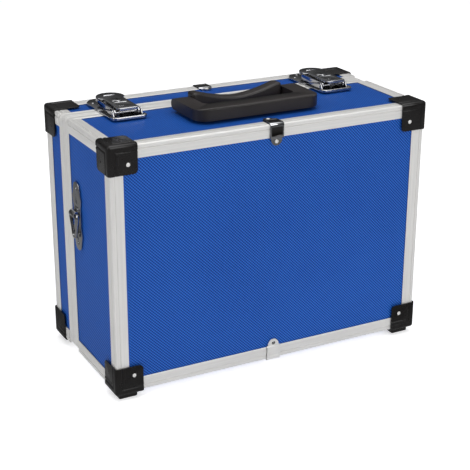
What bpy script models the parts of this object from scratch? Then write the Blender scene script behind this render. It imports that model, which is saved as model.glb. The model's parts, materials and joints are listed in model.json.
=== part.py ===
"""Aluminium-framed carry case for a small telescope, standing on its feet with the handle up.

Axes: +X runs along the long front face, +Y from the front (base) panel to the lid's panel,
+Z up to the handle. The origin is under the middle of the case, level with the feet.
"""

import math

import bmesh
import bpy
from mathutils import Matrix, Vector

# Driving dimensions, in metres
CASE_WIDTH = 0.320
CASE_DEPTH = 0.155
CASE_HEIGHT = 0.231
BODY_DEPTH = 0.108
FOOT_HEIGHT = 0.007
GAP = 0.0003

# Extruded frame
LEG = 0.0126
SKIN = 0.0008
WEB = 0.0047
LIP_REACH = 0.0100
EDGE_RADIUS = 0.0010
RIM_RADIUS = 0.0060
RIM_STEPS = 5
RIM_FLANGE = 0.0024
TONGUE_REACH = 0.0024
TONGUE_IN = 0.0022
TONGUE_OUT = 0.0034
GROOVE_PLAY = 0.0006

# Boards and foam
BOARD = 0.0030
BOARD_SINK = 0.0011
BOARD_EDGE = 0.0055
FOAM_INSET = 0.0057
BODY_FOAM_TOP = 0.104
LID_FOAM_START = 0.122
POCKET_RADIUS = 0.006

# Pockets in the foam: name, x span, z span, depth
FOAM_POCKETS = (
    ("tube_pocket", (-0.140, 0.140), (0.135, 0.219), 0.080),
    ("mount_pocket", (-0.140, -0.020), (0.028, 0.120), 0.070),
    ("eyepiece_pocket_a", (0.000, 0.040), (0.080, 0.120), 0.060),
    ("eyepiece_pocket_b", (0.050, 0.090), (0.080, 0.120), 0.060),
    ("eyepiece_pocket_c", (0.100, 0.140), (0.080, 0.120), 0.060),
    ("accessory_pocket", (0.000, 0.140), (0.028, 0.066), 0.060),
)

# Corner protectors and feet
CORNER_REACH = 0.0255
CORNER_PROUD = 0.0017
CORNER_STEP = 0.0065
STEP_DEPTH = 0.0007
FOOT_SIZE = 0.0180
BODY_FOOT_INSET = 0.0030
LID_FOOT_INSET = 0.0085

# Edge clips
CLIP_WIDTH = 0.0140
CLIP_REACH = 0.0200
CLIP_THICK = 0.0010

# Handle
HANDLE_HALF = 0.0640
HANDLE_INNER = 0.0470
HANDLE_FRONT = 0.0270
HANDLE_BAR_BACK = 0.0490
HANDLE_LOW = 0.0020
HANDLE_THICK = 0.0100
HANDLE_AXIS_Y = 0.0785
HANDLE_BOSS_RADIUS = 0.0030
HANDLE_BOSS_REACH = 0.0080
BRACKET_HALF = 0.0465
BRACKET_FRONT = 0.0700
BRACKET_BACK = 0.0920
BRACKET_PLATE = 0.0030
BRACKET_DIP = 0.0080
BRACKET_PEAK = 0.0160

# Latches
LATCH_X = 0.1090
LATCH_HALF = 0.0170
PLATE_THICK = 0.0012
BASE_FRONT = 0.0710
BASE_BACK = 0.1065
CATCH_FRONT = 0.1095
CATCH_BACK = 0.1480
EAR_HALF = 0.0144
EAR_THICK = 0.0012
LINK_HALF = 0.0126
LINK_THICK = 0.0020
LINK_START = 0.0820
LINK_START_Z = 0.0050
LINK_END = 0.1180
LINK_END_Z = 0.0058
LATCH_PIN_RADIUS = 0.0012
LEVER_HALF = 0.0097
LEVER_FRONT = 0.0750
LEVER_LOW = 0.0090
LEVER_THICK = 0.0014
HOOD_CENTRE = 0.1200
HOOD_RADIUS = 0.0134
LOCK_Y = 0.1040
LOCK_RADIUS = 0.0045

# Strap brackets on the side walls
STRAP_Y = 0.0820
STRAP_Z = 0.1440
STRAP_LENGTH = 0.0660
STRAP_WIDTH = 0.0220
RING_Z = 0.1470
RING_OUT = 0.0032
RING_WIRE = 0.0015
RING_HALF = 0.0100
RING_DROP = 0.0300
SLEEVE_RADIUS = 0.0032
SLEEVE_HALF = 0.0055

# Hinge under the bottom edge
HINGE_HALF = 0.1250
HINGE_KNUCKLES = 9
HINGE_AXIS_DROP = 0.0030
HINGE_PIN = 0.0010
KNUCKLE_BORE = 0.0013
KNUCKLE_RADIUS = 0.0021
LEAF_START = 0.0009
LEAF_REACH = 0.0110
LEAF_THICK = 0.0010

# Case planes in the part's frame
HALF_WIDTH = CASE_WIDTH / 2
FRONT = -CASE_DEPTH / 2
BACK = CASE_DEPTH / 2
SPLIT = FRONT + BODY_DEPTH
BOTTOM = FOOT_HEIGHT
TOP = FOOT_HEIGHT + CASE_HEIGHT
MIDDLE = (BOTTOM + TOP) / 2

# Colours: linear RGB, roughness, metallic
FINISHES = {
    "aluminium": ((0.66, 0.65, 0.63), 0.38, 1.0),
    "chrome": ((0.60, 0.60, 0.61), 0.12, 1.0),
    "blue_board": ((0.018, 0.090, 0.380), 0.45, 0.0),
    "black_plastic": ((0.013, 0.012, 0.012), 0.42, 0.0),
    "handle_plastic": ((0.022, 0.019, 0.018), 0.50, 0.0),
    "grey_foam": ((0.055, 0.055, 0.060), 0.95, 0.0),
}


def clear_scene():
    for item in list(bpy.data.objects):
        bpy.data.objects.remove(item, do_unlink=True)


def make_collection(name):
    collection = bpy.data.collections.new(name)
    bpy.context.scene.collection.children.link(collection)
    return collection


def make_materials():
    made = {}
    for name, (colour, roughness, metallic) in FINISHES.items():
        material = bpy.data.materials.new(name)
        material.use_nodes = True
        shader = material.node_tree.nodes["Principled BSDF"]
        shader.inputs["Base Color"].default_value = (*colour, 1.0)
        shader.inputs["Roughness"].default_value = roughness
        shader.inputs["Metallic"].default_value = metallic
        made[name] = material
    return made


clear_scene()
PARTS = make_collection("telescope_carry_case")
CUTTERS = make_collection("cutters")
MATERIALS = make_materials()


def place(item, name, finish=None):
    """Name an object and put it with the parts, or with the cutters if it has no finish."""
    item.name = name
    for collection in list(item.users_collection):
        collection.objects.unlink(item)
    if finish is None:
        CUTTERS.objects.link(item)
        item.hide_render = True
        item.display_type = "WIRE"
    else:
        PARTS.objects.link(item)
        item.data.materials.clear()
        item.data.materials.append(MATERIALS[finish])
    return item


def finish_curve(curve_object, name, finish):
    """Turn a curve into a closed mesh object that keeps the curve's place."""
    bpy.context.view_layer.update()
    graph = bpy.context.evaluated_depsgraph_get()
    mesh = bpy.data.meshes.new_from_object(curve_object.evaluated_get(graph))
    shell = bmesh.new()
    shell.from_mesh(mesh)
    bmesh.ops.remove_doubles(shell, verts=shell.verts, dist=0.000005)
    bmesh.ops.recalc_face_normals(shell, faces=shell.faces)
    shell.to_mesh(mesh)
    shell.free()
    item = bpy.data.objects.new(name, mesh)
    item.matrix_world = curve_object.matrix_world.copy()
    bpy.context.scene.collection.objects.link(item)
    bpy.data.objects.remove(curve_object, do_unlink=True)
    return place(item, name, finish)


def box(name, low, high, finish=None, bevel=0.0, segments=2):
    """A block between two corners, with its edges rounded if asked."""
    low, high = Vector(low), Vector(high)
    bpy.ops.mesh.primitive_cube_add(size=1.0, location=(low + high) / 2)
    item = bpy.context.object
    item.scale = high - low
    bpy.ops.object.transform_apply(location=False, rotation=False, scale=True)
    place(item, name, finish)
    if bevel > 0.0:
        add_bevel(item, bevel, segments)
    return item


def add_bevel(item, width, segments=2, angle=40):
    bevel = item.modifiers.new("rounded edges", "BEVEL")
    bevel.width = width
    bevel.segments = segments
    bevel.limit_method = "ANGLE"
    bevel.angle_limit = math.radians(angle)


def rod(name, start, end, radius, finish=None, sides=20):
    """A straight round bar between two points."""
    start, end = Vector(start), Vector(end)
    bpy.ops.mesh.primitive_cylinder_add(
        vertices=sides, radius=radius, depth=(end - start).length, location=(start + end) / 2
    )
    item = bpy.context.object
    item.rotation_mode = "QUATERNION"
    item.rotation_quaternion = (end - start).to_track_quat("Z", "Y")
    place(item, name, finish)
    item.data.shade_smooth()
    item.data.set_sharp_from_angle(angle=math.radians(40))
    return item


def add_outline(curve, outline):
    spline = curve.splines.new("POLY")
    spline.points.add(len(outline) - 1)
    for point, (u, v) in zip(spline.points, outline):
        point.co = (u, v, 0.0, 1.0)
    spline.use_cyclic_u = True


def prism(name, outline, across, up, centre, thickness, finish=None):
    """A flat outline in the plane of two directions, given half its thickness to each side."""
    across, up = Vector(across), Vector(up)
    normal = across.cross(up)
    curve = bpy.data.curves.new(name, "CURVE")
    curve.dimensions = "2D"
    curve.fill_mode = "BOTH"
    curve.extrude = thickness / 2
    add_outline(curve, outline)
    item = bpy.data.objects.new(name, curve)
    turn = Matrix((across, up, normal)).transposed().to_4x4()
    item.matrix_world = Matrix.Translation(Vector(centre)) @ turn
    bpy.context.scene.collection.objects.link(item)
    return finish_curve(item, name, finish)


def boolean(item, tool, operation="DIFFERENCE"):
    modifier = item.modifiers.new(operation.lower(), "BOOLEAN")
    modifier.operation = operation
    modifier.object = tool


def arc(centre, radius, first, last, steps):
    """Points on a round corner, with the angles in degrees."""
    points = []
    for step in range(steps + 1):
        angle = math.radians(first + (last - first) * step / steps)
        points.append((centre[0] + radius * math.cos(angle), centre[1] + radius * math.sin(angle)))
    return points


def rounded_rectangle(half_u, half_v, radius, steps=RIM_STEPS):
    points = []
    for side_u, side_v, first in ((1, 1, 0), (-1, 1, 90), (-1, -1, 180), (1, -1, 270)):
        centre = (side_u * (half_u - radius), side_v * (half_v - radius))
        points += arc(centre, radius, first, first + 90, steps)
    return points


def set_pivot(item, pivot):
    """Move an object's origin to its joint's axis without moving its shape."""
    pivot = Vector(pivot)
    bpy.context.view_layer.update()
    shift = item.matrix_world.inverted() @ pivot
    item.data.transform(Matrix.Translation(-shift))
    item.matrix_world = item.matrix_world @ Matrix.Translation(shift)
    return item


# ---------------------------------------------------------------- frame of the case

def frame_section():
    """Edge extrusion: two outer legs, a corner web, and two inner lips that hold the boards."""
    lip = WEB + 0.0005
    return (
        arc((EDGE_RADIUS, EDGE_RADIUS), EDGE_RADIUS, 270, 180, 3)
        + [(0.0, LEG), (SKIN, LEG), (SKIN, WEB), (WEB - GAP, WEB), (WEB - GAP, LIP_REACH)]
        + [(lip, LIP_REACH), (lip, lip), (LIP_REACH, lip), (LIP_REACH, WEB - GAP)]
        + [(WEB, WEB - GAP), (WEB, SKIN), (LEG, SKIN), (LEG, 0.0)]
    )


def edge_run(name, start, end, inward_a, inward_b):
    """A length of the edge extrusion along a case edge, from start to end."""
    start, end = Vector(start), Vector(end)
    middle, length = (start + end) / 2, (end - start).length
    return prism(name, frame_section(), inward_a, inward_b, middle, length, "aluminium")


def bent_ring(name, section, y):
    """A profile bent round the case, from its section: a list of (inset, distance behind y)."""
    profile = bpy.data.curves.new(f"{name}_section", "CURVE")
    profile.dimensions = "2D"
    profile.fill_mode = "NONE"
    add_outline(profile, [(inset, -behind) for inset, behind in section])
    guide = bpy.data.objects.new(f"{name}_section", profile)
    CUTTERS.objects.link(guide)
    guide.hide_render = True
    guide.display_type = "WIRE"

    curve = bpy.data.curves.new(name, "CURVE")
    curve.dimensions = "2D"
    curve.fill_mode = "NONE"
    curve.bevel_mode = "OBJECT"
    curve.bevel_object = guide
    add_outline(curve, rounded_rectangle(HALF_WIDTH, CASE_HEIGHT / 2, RIM_RADIUS))
    item = bpy.data.objects.new(name, curve)
    item.matrix_world = Matrix.Translation((0, y, MIDDLE)) @ Matrix.Rotation(math.pi / 2, 4, "X")
    bpy.context.scene.collection.objects.link(item)
    return finish_curve(item, name, "aluminium")


def build_body_frame():
    inner = LEG + 2 * GAP
    rim_start = SPLIT - LEG
    for label, z, inward in (("hinge_side", BOTTOM, (0, 0, 1)), ("latch_side", TOP, (0, 0, -1))):
        edge_run(
            f"body_edge_{label}", (-HALF_WIDTH, FRONT, z), (HALF_WIDTH, FRONT, z), inward, (0, 1, 0)
        )
    for label, side in (("left", -1), ("right", 1)):
        edge_run(
            f"body_edge_{label}",
            (side * HALF_WIDTH, FRONT, BOTTOM + inner),
            (side * HALF_WIDTH, FRONT, TOP - inner),
            (-side, 0, 0),
            (0, 1, 0),
        )
        for level, z, inward in (("lower", BOTTOM, (0, 0, 1)), ("upper", TOP, (0, 0, -1))):
            edge_run(
                f"body_post_{level}_{label}",
                (side * HALF_WIDTH, FRONT + inner, z),
                (side * HALF_WIDTH, rim_start - GAP, z),
                (-side, 0, 0),
                inward,
            )
    lip, end = WEB + 0.0005, -GAP / 2
    slot = WEB - GAP
    bent_ring(
        "body_rim",
        [(0.0, end), (0.0, -LEG), (SKIN, -LEG), (SKIN, -RIM_FLANGE), (slot, -RIM_FLANGE)]
        + [(slot, -LIP_REACH), (lip, -LIP_REACH), (lip, end), (TONGUE_OUT, end)]
        + [(TONGUE_OUT, TONGUE_REACH), (TONGUE_IN, TONGUE_REACH), (TONGUE_IN, end)],
        SPLIT,
    )


def build_lid_frame():
    rim_end = SPLIT + LEG
    bent_ring("lid_edge_frame", [(inset, -depth) for inset, depth in frame_section()], BACK)
    for label, side in (("left", -1), ("right", 1)):
        for level, z, inward in (("lower", BOTTOM, (0, 0, 1)), ("upper", TOP, (0, 0, -1))):
            edge_run(
                f"lid_post_{level}_{label}",
                (side * HALF_WIDTH, rim_end + GAP, z),
                (side * HALF_WIDTH, BACK - LEG - GAP, z),
                (-side, 0, 0),
                inward,
            )
    lip, end = WEB + 0.0005, GAP / 2
    slot = WEB - GAP
    groove_in, groove_out = TONGUE_IN - GROOVE_PLAY, TONGUE_OUT + GROOVE_PLAY
    floor = TONGUE_REACH + 0.0010
    flange = floor + 0.0010
    bent_ring(
        "lid_rim",
        [(0.0, end), (0.0, LEG), (SKIN, LEG), (SKIN, flange), (slot, flange)]
        + [(slot, LIP_REACH), (lip, LIP_REACH), (lip, end), (groove_out, end)]
        + [(groove_out, floor), (groove_in, floor), (groove_in, end)],
        SPLIT,
    )


def build_boards():
    sunk = BOARD_SINK
    far = BOARD_SINK + BOARD
    half = HALF_WIDTH - BOARD_EDGE
    low, high = BOTTOM + BOARD_EDGE, TOP - BOARD_EDGE
    box("base_panel", (-half, FRONT + sunk, low), (half, FRONT + far, high), "blue_board")
    box("lid_panel", (-half, BACK - far, low), (half, BACK - sunk, high), "blue_board")
    spans = (
        ("body", FRONT + BOARD_EDGE, SPLIT - RIM_FLANGE - GAP),
        ("lid", SPLIT + TONGUE_REACH + 0.0020 + GAP, BACK - BOARD_EDGE),
    )
    for shell, y_low, y_high in spans:
        levels = (("hinge_side", BOTTOM + sunk, BOTTOM + far), ("latch_side", TOP - far, TOP - sunk))
        for label, z_low, z_high in levels:
            box(f"{shell}_wall_{label}", (-half, y_low, z_low), (half, y_high, z_high), "blue_board")
        left, right = (-HALF_WIDTH + sunk, -HALF_WIDTH + far), (HALF_WIDTH - far, HALF_WIDTH - sunk)
        ends = (("left", *left), ("right", *right))
        for label, x_low, x_high in ends:
            box(f"{shell}_wall_{label}", (x_low, y_low, low), (x_high, y_high, high), "blue_board")


def build_foam():
    half = HALF_WIDTH - FOAM_INSET
    low, high = BOTTOM + FOAM_INSET, TOP - FOAM_INSET
    top = FRONT + BODY_FOAM_TOP
    body_foam = box("body_foam", (-half, FRONT + FOAM_INSET, low), (half, top, high), "grey_foam")
    for name, (x_low, x_high), (z_low, z_high), depth in FOAM_POCKETS:
        cutter = box(
            f"{name}_cutter",
            (x_low, top - depth, z_low),
            (x_high, top + 0.01, z_high),
            bevel=POCKET_RADIUS,
            segments=2,
        )
        boolean(body_foam, cutter)
    box("lid_foam", (-half, FRONT + LID_FOAM_START, low), (half, BACK - FOAM_INSET, high), "grey_foam")


# ---------------------------------------------------------------- corners, feet and clips

def corner_protector(name, side_x, side_y, side_z, with_foot):
    """Three moulded wings over a case corner, with a step down inside their outer edges."""
    corner = Vector((side_x * HALF_WIDTH, side_y * CASE_DEPTH / 2, TOP if side_z > 0 else BOTTOM))
    outward = Vector((side_x, side_y, side_z))

    def at(a, b, c):
        return corner - Vector((a * outward.x, b * outward.y, c * outward.z))

    def block(label, first, second, bevel=0.0, finish=None):
        low = [min(a, b) for a, b in zip(first, second)]
        high = [max(a, b) for a, b in zip(first, second)]
        return box(label, low, high, finish, bevel, 3)

    reach = CORNER_REACH
    protector = block(name, at(*[-CORNER_PROUD] * 3), at(*[reach] * 3), 0.003, "black_plastic")
    boolean(protector, block(f"{name}_inside", at(*[-GAP] * 3), at(*[reach + 0.01] * 3)))
    for axis in range(3):
        near = [CORNER_STEP] * 3
        far = [reach + 0.01] * 3
        near[axis] = -CORNER_PROUD - 0.002
        far[axis] = STEP_DEPTH - CORNER_PROUD
        boolean(protector, block(f"{name}_step_{axis}", at(*near), at(*far)))
    if with_foot:
        inset = BODY_FOOT_INSET if side_y < 0 else LID_FOOT_INSET
        deep = BODY_FOOT_INSET
        foot = block(
            f"{name}_foot",
            at(inset, deep, -FOOT_HEIGHT),
            at(inset + (FOOT_SIZE if side_y < 0 else 0.012), deep + FOOT_SIZE, -GAP - 0.0002),
            0.0,
        )
        boolean(protector, foot, "UNION")
    return protector


def build_corners():
    for shell, side_y in (("body", -1), ("lid", 1)):
        for level, side_z in (("lower", -1), ("upper", 1)):
            for label, side_x in (("left", -1), ("right", 1)):
                corner_protector(f"{shell}_corner_{level}_{label}", side_x, side_y, side_z, side_z < 0)


def build_edge_clips():
    """Bent strips riveted over the middle of the long edges."""
    for shell, side_y in (("body", -1), ("lid", 1)):
        for level, side_z in (("lower", -1), ("upper", 1)):
            y = side_y * CASE_DEPTH / 2
            z = TOP if side_z > 0 else BOTTOM
            near, far = -GAP, -GAP - CLIP_THICK
            outline = [
                (far, far),
                (CLIP_REACH, far),
                (CLIP_REACH, near),
                (near, near),
                (near, CLIP_REACH),
                (far, CLIP_REACH),
            ]
            prism(
                f"{shell}_clip_{level}",
                outline,
                (0, -side_y, 0),
                (0, 0, -side_z),
                (0, y, z),
                CLIP_WIDTH,
                "chrome",
            )


# ---------------------------------------------------------------- handle

def build_handle():
    axis_y = FRONT + HANDLE_AXIS_Y
    mid_z = TOP + HANDLE_LOW + HANDLE_THICK / 2
    front, bar_back = FRONT + HANDLE_FRONT, FRONT + HANDLE_BAR_BACK
    half, inner = HANDLE_HALF, HANDLE_INNER
    outline = (
        [(half, axis_y), (inner, axis_y)]
        + arc((inner - 0.005, bar_back + 0.005), 0.005, 0, -90, 4)
        + arc((-inner + 0.005, bar_back + 0.005), 0.005, 270, 180, 4)
        + [(-inner, axis_y), (-half, axis_y)]
        + arc((-half + 0.014, front + 0.014), 0.014, 180, 270, 6)
        + arc((half - 0.014, front + 0.014), 0.014, 270, 360, 6)
    )
    grip = prism(
        "handle_grip", outline, (1, 0, 0), (0, 1, 0), (0, 0, mid_z), HANDLE_THICK, "handle_plastic"
    )
    boss_end = inner + HANDLE_BOSS_REACH
    for label, side in (("left", -1), ("right", 1)):
        end = rod(
            f"grip_end_{label}",
            (side * inner, axis_y, mid_z),
            (side * half, axis_y, mid_z),
            HANDLE_THICK / 2,
            sides=24,
        )
        boolean(grip, end, "UNION")
        bore = rod(
            f"grip_bore_{label}",
            (side * (inner - 0.005), axis_y, mid_z),
            (side * (boss_end + GAP), axis_y, mid_z),
            HANDLE_BOSS_RADIUS + GAP,
        )
        boolean(grip, bore)
    set_pivot(grip, (0, axis_y, mid_z))

    low = TOP - BOARD_SINK + GAP
    plate_top = TOP + BRACKET_PLATE
    peak, dip = TOP + BRACKET_PEAK, TOP + BRACKET_DIP
    lug_flat = 0.030
    ridge = [(-BRACKET_HALF, low), (BRACKET_HALF, low), (BRACKET_HALF, peak - 0.003)]
    ridge += [(BRACKET_HALF - 0.003, peak)]
    steps = 12
    for step in range(steps + 1):
        x = lug_flat * (1 - 2 * step / steps)
        ridge.append((x, dip + (peak - dip) * (0.5 - 0.5 * math.cos(math.pi * abs(x) / lug_flat))))
    ridge += [(-BRACKET_HALF + 0.003, peak), (-BRACKET_HALF, peak - 0.003)]
    ridge_front, ridge_back = FRONT + 0.0730, FRONT + 0.0860
    bracket = prism(
        "handle_base",
        ridge,
        (1, 0, 0),
        (0, 0, 1),
        (0, (ridge_front + ridge_back) / 2, 0),
        ridge_back - ridge_front,
        "handle_plastic",
    )
    plate = box(
        "handle_base_plate",
        (-BRACKET_HALF + 0.001, FRONT + BRACKET_FRONT, low + 0.0001),
        (BRACKET_HALF - 0.001, FRONT + BRACKET_BACK, plate_top),
    )
    boolean(bracket, plate, "UNION")
    for label, side in (("left", -1), ("right", 1)):
        boss = rod(
            f"bracket_boss_{label}",
            (side * (BRACKET_HALF - 0.004), axis_y, mid_z),
            (side * boss_end, axis_y, mid_z),
            HANDLE_BOSS_RADIUS,
        )
        boolean(bracket, boss, "UNION")


# ---------------------------------------------------------------- latches

def build_latch(label, side):
    centre = side * LATCH_X
    floor = TOP + GAP
    pin_y, pin_z = FRONT + LINK_START, TOP + LINK_START_Z
    tip_y, tip_z = FRONT + LINK_END, TOP + LINK_END_Z

    base = box(
        f"latch_base_{label}",
        (centre - LATCH_HALF, FRONT + BASE_FRONT, floor),
        (centre + LATCH_HALF, FRONT + BASE_BACK, floor + PLATE_THICK),
        "chrome",
    )
    rim = box(
        f"latch_base_rim_{label}",
        (centre - LATCH_HALF + 0.0005, FRONT + BASE_FRONT + 0.0002, floor + 0.0003),
        (centre + LATCH_HALF - 0.0005, FRONT + BASE_FRONT + 0.0022, floor + 0.0027),
    )
    boolean(base, rim, "UNION")
    for hand in (-1, 1):
        ear_outer = centre + hand * EAR_HALF
        ear_inner = centre + hand * (EAR_HALF - EAR_THICK)
        ear_low = floor + 0.0005
        outline = [(pin_y - 0.006, ear_low), (pin_y + 0.020, ear_low), (pin_y + 0.020, ear_low + 0.003)]
        outline += arc((pin_y, pin_z), 0.0026, 60, 180, 5)
        ear = prism(
            f"latch_ear_{label}_{'outer' if hand == side else 'inner'}",
            outline,
            (0, 1, 0),
            (0, 0, 1),
            ((ear_outer + ear_inner) / 2, 0, 0),
            EAR_THICK,
        )
        boolean(base, ear, "UNION")
    ear_bore = rod(
        f"latch_ear_bore_{label}",
        (centre - 0.02, pin_y, pin_z),
        (centre + 0.02, pin_y, pin_z),
        LATCH_PIN_RADIUS + GAP,
    )
    boolean(base, ear_bore)
    rod(
        f"latch_pin_{label}",
        (centre - EAR_HALF - 0.0006, pin_y, pin_z),
        (centre + EAR_HALF + 0.0006, pin_y, pin_z),
        LATCH_PIN_RADIUS,
        "chrome",
    )

    link = rod(
        f"latch_link_{label}",
        (centre - LINK_HALF, tip_y, tip_z),
        (centre + LINK_HALF, tip_y, tip_z),
        LATCH_PIN_RADIUS,
        "chrome",
    )
    run = Vector((tip_y - pin_y, tip_z - pin_z))
    tilt = math.degrees(math.atan2(run.y, run.x))
    for hand in (-1, 1):
        outline = arc((pin_y, pin_z), 0.0026, 90 + tilt, 270 + tilt, 8)
        outline += arc((tip_y, tip_z), 0.0026, 270 + tilt, 450 + tilt, 8)
        bar = prism(
            f"latch_bar_{label}_{'outer' if hand == side else 'inner'}",
            outline,
            (0, 1, 0),
            (0, 0, 1),
            (centre + hand * (LINK_HALF - LINK_THICK / 2), 0, 0),
            LINK_THICK,
        )
        boolean(link, bar, "UNION")
    boolean(
        link,
        rod(
            f"latch_link_bore_{label}",
            (centre - 0.02, pin_y, pin_z),
            (centre + 0.02, pin_y, pin_z),
            LATCH_PIN_RADIUS + GAP,
        ),
    )
    set_pivot(link, (centre, pin_y, pin_z))

    low, high = TOP + LEVER_LOW, TOP + LEVER_LOW + LEVER_THICK
    front, hood_y = FRONT + LEVER_FRONT, FRONT + HOOD_CENTRE
    outline = [(-LEVER_HALF + 0.001, front), (LEVER_HALF - 0.001, front), (LEVER_HALF, front + 0.001)]
    outline += [(LEVER_HALF, hood_y - 0.007)]
    outline += arc((0, hood_y), HOOD_RADIUS, -15, 195, 20)
    outline += [(-LEVER_HALF, hood_y - 0.007), (-LEVER_HALF, front + 0.001)]
    lever = prism(
        f"latch_lever_{label}",
        outline,
        (1, 0, 0),
        (0, 1, 0),
        (centre, 0, (low + high) / 2),
        LEVER_THICK,
        "chrome",
    )
    lip = box(
        f"lever_lip_{label}",
        (centre - LEVER_HALF + 0.0012, front + 0.0001, low - 0.0012),
        (centre + LEVER_HALF - 0.0012, front + 0.0016, low + 0.0005),
    )
    boolean(lever, lip, "UNION")
    skirt_outline = arc((0, hood_y), HOOD_RADIUS - 0.0002, 35, 145, 12)
    skirt_outline += arc((0, hood_y), HOOD_RADIUS - 0.0014, 145, 35, 12)
    skirt = prism(
        f"lever_skirt_{label}", skirt_outline, (1, 0, 0), (0, 1, 0), (centre, 0, TOP + 0.0080), 0.0030
    )
    boolean(lever, skirt, "UNION")
    for hand in (-1, 1):
        cheek = [(tip_y - 0.004, low + 0.0005), (tip_y - 0.0024, tip_z)]
        cheek += arc((tip_y, tip_z), 0.0024, 180, 360, 8)
        cheek += [(tip_y + 0.004, low + 0.0005)]
        boolean(
            lever,
            prism(
                f"lever_cheek_{label}_{'outer' if hand == side else 'inner'}",
                cheek,
                (0, 1, 0),
                (0, 0, 1),
                (centre + hand * (LEVER_HALF - 0.0006), 0, 0),
                0.0012,
            ),
            "UNION",
        )
    boolean(
        lever,
        rod(
            f"lever_pin_bore_{label}",
            (centre - 0.0102, tip_y, tip_z),
            (centre + 0.0102, tip_y, tip_z),
            LATCH_PIN_RADIUS + GAP,
        ),
    )
    lock_y = FRONT + LOCK_Y
    boolean(
        lever,
        rod(
            f"lock_hole_{label}",
            (centre, lock_y, low - 0.002),
            (centre, lock_y, high + 0.002),
            LOCK_RADIUS + GAP,
            sides=28,
        ),
    )
    set_pivot(lever, (centre, tip_y, tip_z))

    lock = rod(
        f"lock_cylinder_{label}",
        (centre, lock_y, TOP + 0.0045),
        (centre, lock_y, high + 0.0006),
        LOCK_RADIUS,
        "chrome",
        sides=28,
    )
    boolean(
        lock,
        box(
            f"key_slot_{label}",
            (centre - 0.0005, lock_y - 0.0024, high - 0.0030),
            (centre + 0.0005, lock_y + 0.0024, high + 0.0020),
        ),
    )

    catch_front, catch_back = FRONT + CATCH_FRONT, FRONT + CATCH_BACK
    outline = [
        (-LATCH_HALF, catch_front),
        (LATCH_HALF, catch_front),
        (LATCH_HALF, catch_back - 0.010),
        (LATCH_HALF - 0.007, catch_back),
        (-LATCH_HALF + 0.007, catch_back),
        (-LATCH_HALF, catch_back - 0.010),
    ]
    catch = prism(
        f"latch_catch_{label}",
        outline,
        (1, 0, 0),
        (0, 1, 0),
        (centre, 0, floor + PLATE_THICK / 2),
        PLATE_THICK,
        "chrome",
    )
    hook = box(
        f"catch_hook_{label}",
        (centre - 0.0080, FRONT + 0.1225, floor + 0.0005),
        (centre + 0.0080, FRONT + 0.1275, floor + 0.0047),
    )
    boolean(catch, hook, "UNION")


# ---------------------------------------------------------------- strap brackets

def build_strap_bracket(label, side):
    wall = side * (HALF_WIDTH - BOARD_SINK)
    y, z = FRONT + STRAP_Y, BOTTOM + STRAP_Z
    half_long, half_wide = STRAP_LENGTH / 2, STRAP_WIDTH / 2
    ring_x = side * (HALF_WIDTH + RING_OUT)
    ring_z = BOTTOM + RING_Z
    plate_outer = wall + side * (GAP + PLATE_THICK)

    end_shape = [(half_wide, half_long - 0.012), (half_wide / 2, half_long - 0.003), (0.0, half_long)]
    end_shape += [(-half_wide / 2, half_long - 0.003), (-half_wide, half_long - 0.012)]
    outline = [(u, z + v) for u, v in end_shape] + [(-u, z - v) for u, v in end_shape]
    plate = prism(
        f"strap_plate_{label}",
        outline,
        (0, 1, 0),
        (0, 0, 1),
        (wall + side * (GAP + PLATE_THICK / 2), y, 0),
        PLATE_THICK,
        "chrome",
    )
    sleeve = rod(
        f"strap_sleeve_{label}",
        (ring_x, y - SLEEVE_HALF, ring_z),
        (ring_x, y + SLEEVE_HALF, ring_z),
        SLEEVE_RADIUS,
        sides=24,
    )
    block_low, block_high = sorted((plate_outer - side * 0.0006, ring_x))
    foot = box(
        f"strap_sleeve_foot_{label}",
        (block_low, y - SLEEVE_HALF + 0.0002, ring_z - 0.0029),
        (block_high, y + SLEEVE_HALF - 0.0002, ring_z + 0.0029),
    )
    boolean(plate, foot, "UNION")
    boolean(plate, sleeve, "UNION")
    bore = rod(
        f"strap_bore_{label}",
        (ring_x, y - 0.02, ring_z),
        (ring_x, y + 0.02, ring_z),
        RING_WIRE + GAP,
        sides=20,
    )
    boolean(plate, bore)

    # Triangular wire ring, hanging point down
    corners = [(RING_HALF, 0.0), (-RING_HALF, 0.0), (0.0, -RING_DROP)]
    radii = (0.0022, 0.0022, 0.0035)
    path = []
    for index, corner in enumerate(corners):
        here = Vector(corner)
        before = (Vector(corners[index - 1]) - here).normalized()
        after = (Vector(corners[(index + 1) % 3]) - here).normalized()
        half_angle = before.angle(after) / 2
        bisector = (before + after).normalized()
        centre = here + bisector * (radii[index] / math.sin(half_angle))
        first = here + before * (radii[index] / math.tan(half_angle)) - centre
        last = here + after * (radii[index] / math.tan(half_angle)) - centre
        sweep = first.angle_signed(last)
        for step in range(6):
            turned = first.copy()
            turned.rotate(Matrix.Rotation(-sweep * step / 5, 2))
            path.append(centre + turned)
    curve = bpy.data.curves.new(f"strap_ring_{label}", "CURVE")
    curve.dimensions = "3D"
    curve.bevel_depth = RING_WIRE
    curve.bevel_resolution = 2
    spline = curve.splines.new("POLY")
    spline.points.add(len(path) - 1)
    for point, (u, v) in zip(spline.points, path):
        point.co = (ring_x, y + u, ring_z + v, 1.0)
    spline.use_cyclic_u = True
    item = bpy.data.objects.new(f"strap_ring_{label}", curve)
    bpy.context.scene.collection.objects.link(item)
    ring = finish_curve(item, f"strap_ring_{label}", "chrome")
    set_pivot(ring, (ring_x, y, ring_z))


# ---------------------------------------------------------------- hinge

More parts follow.
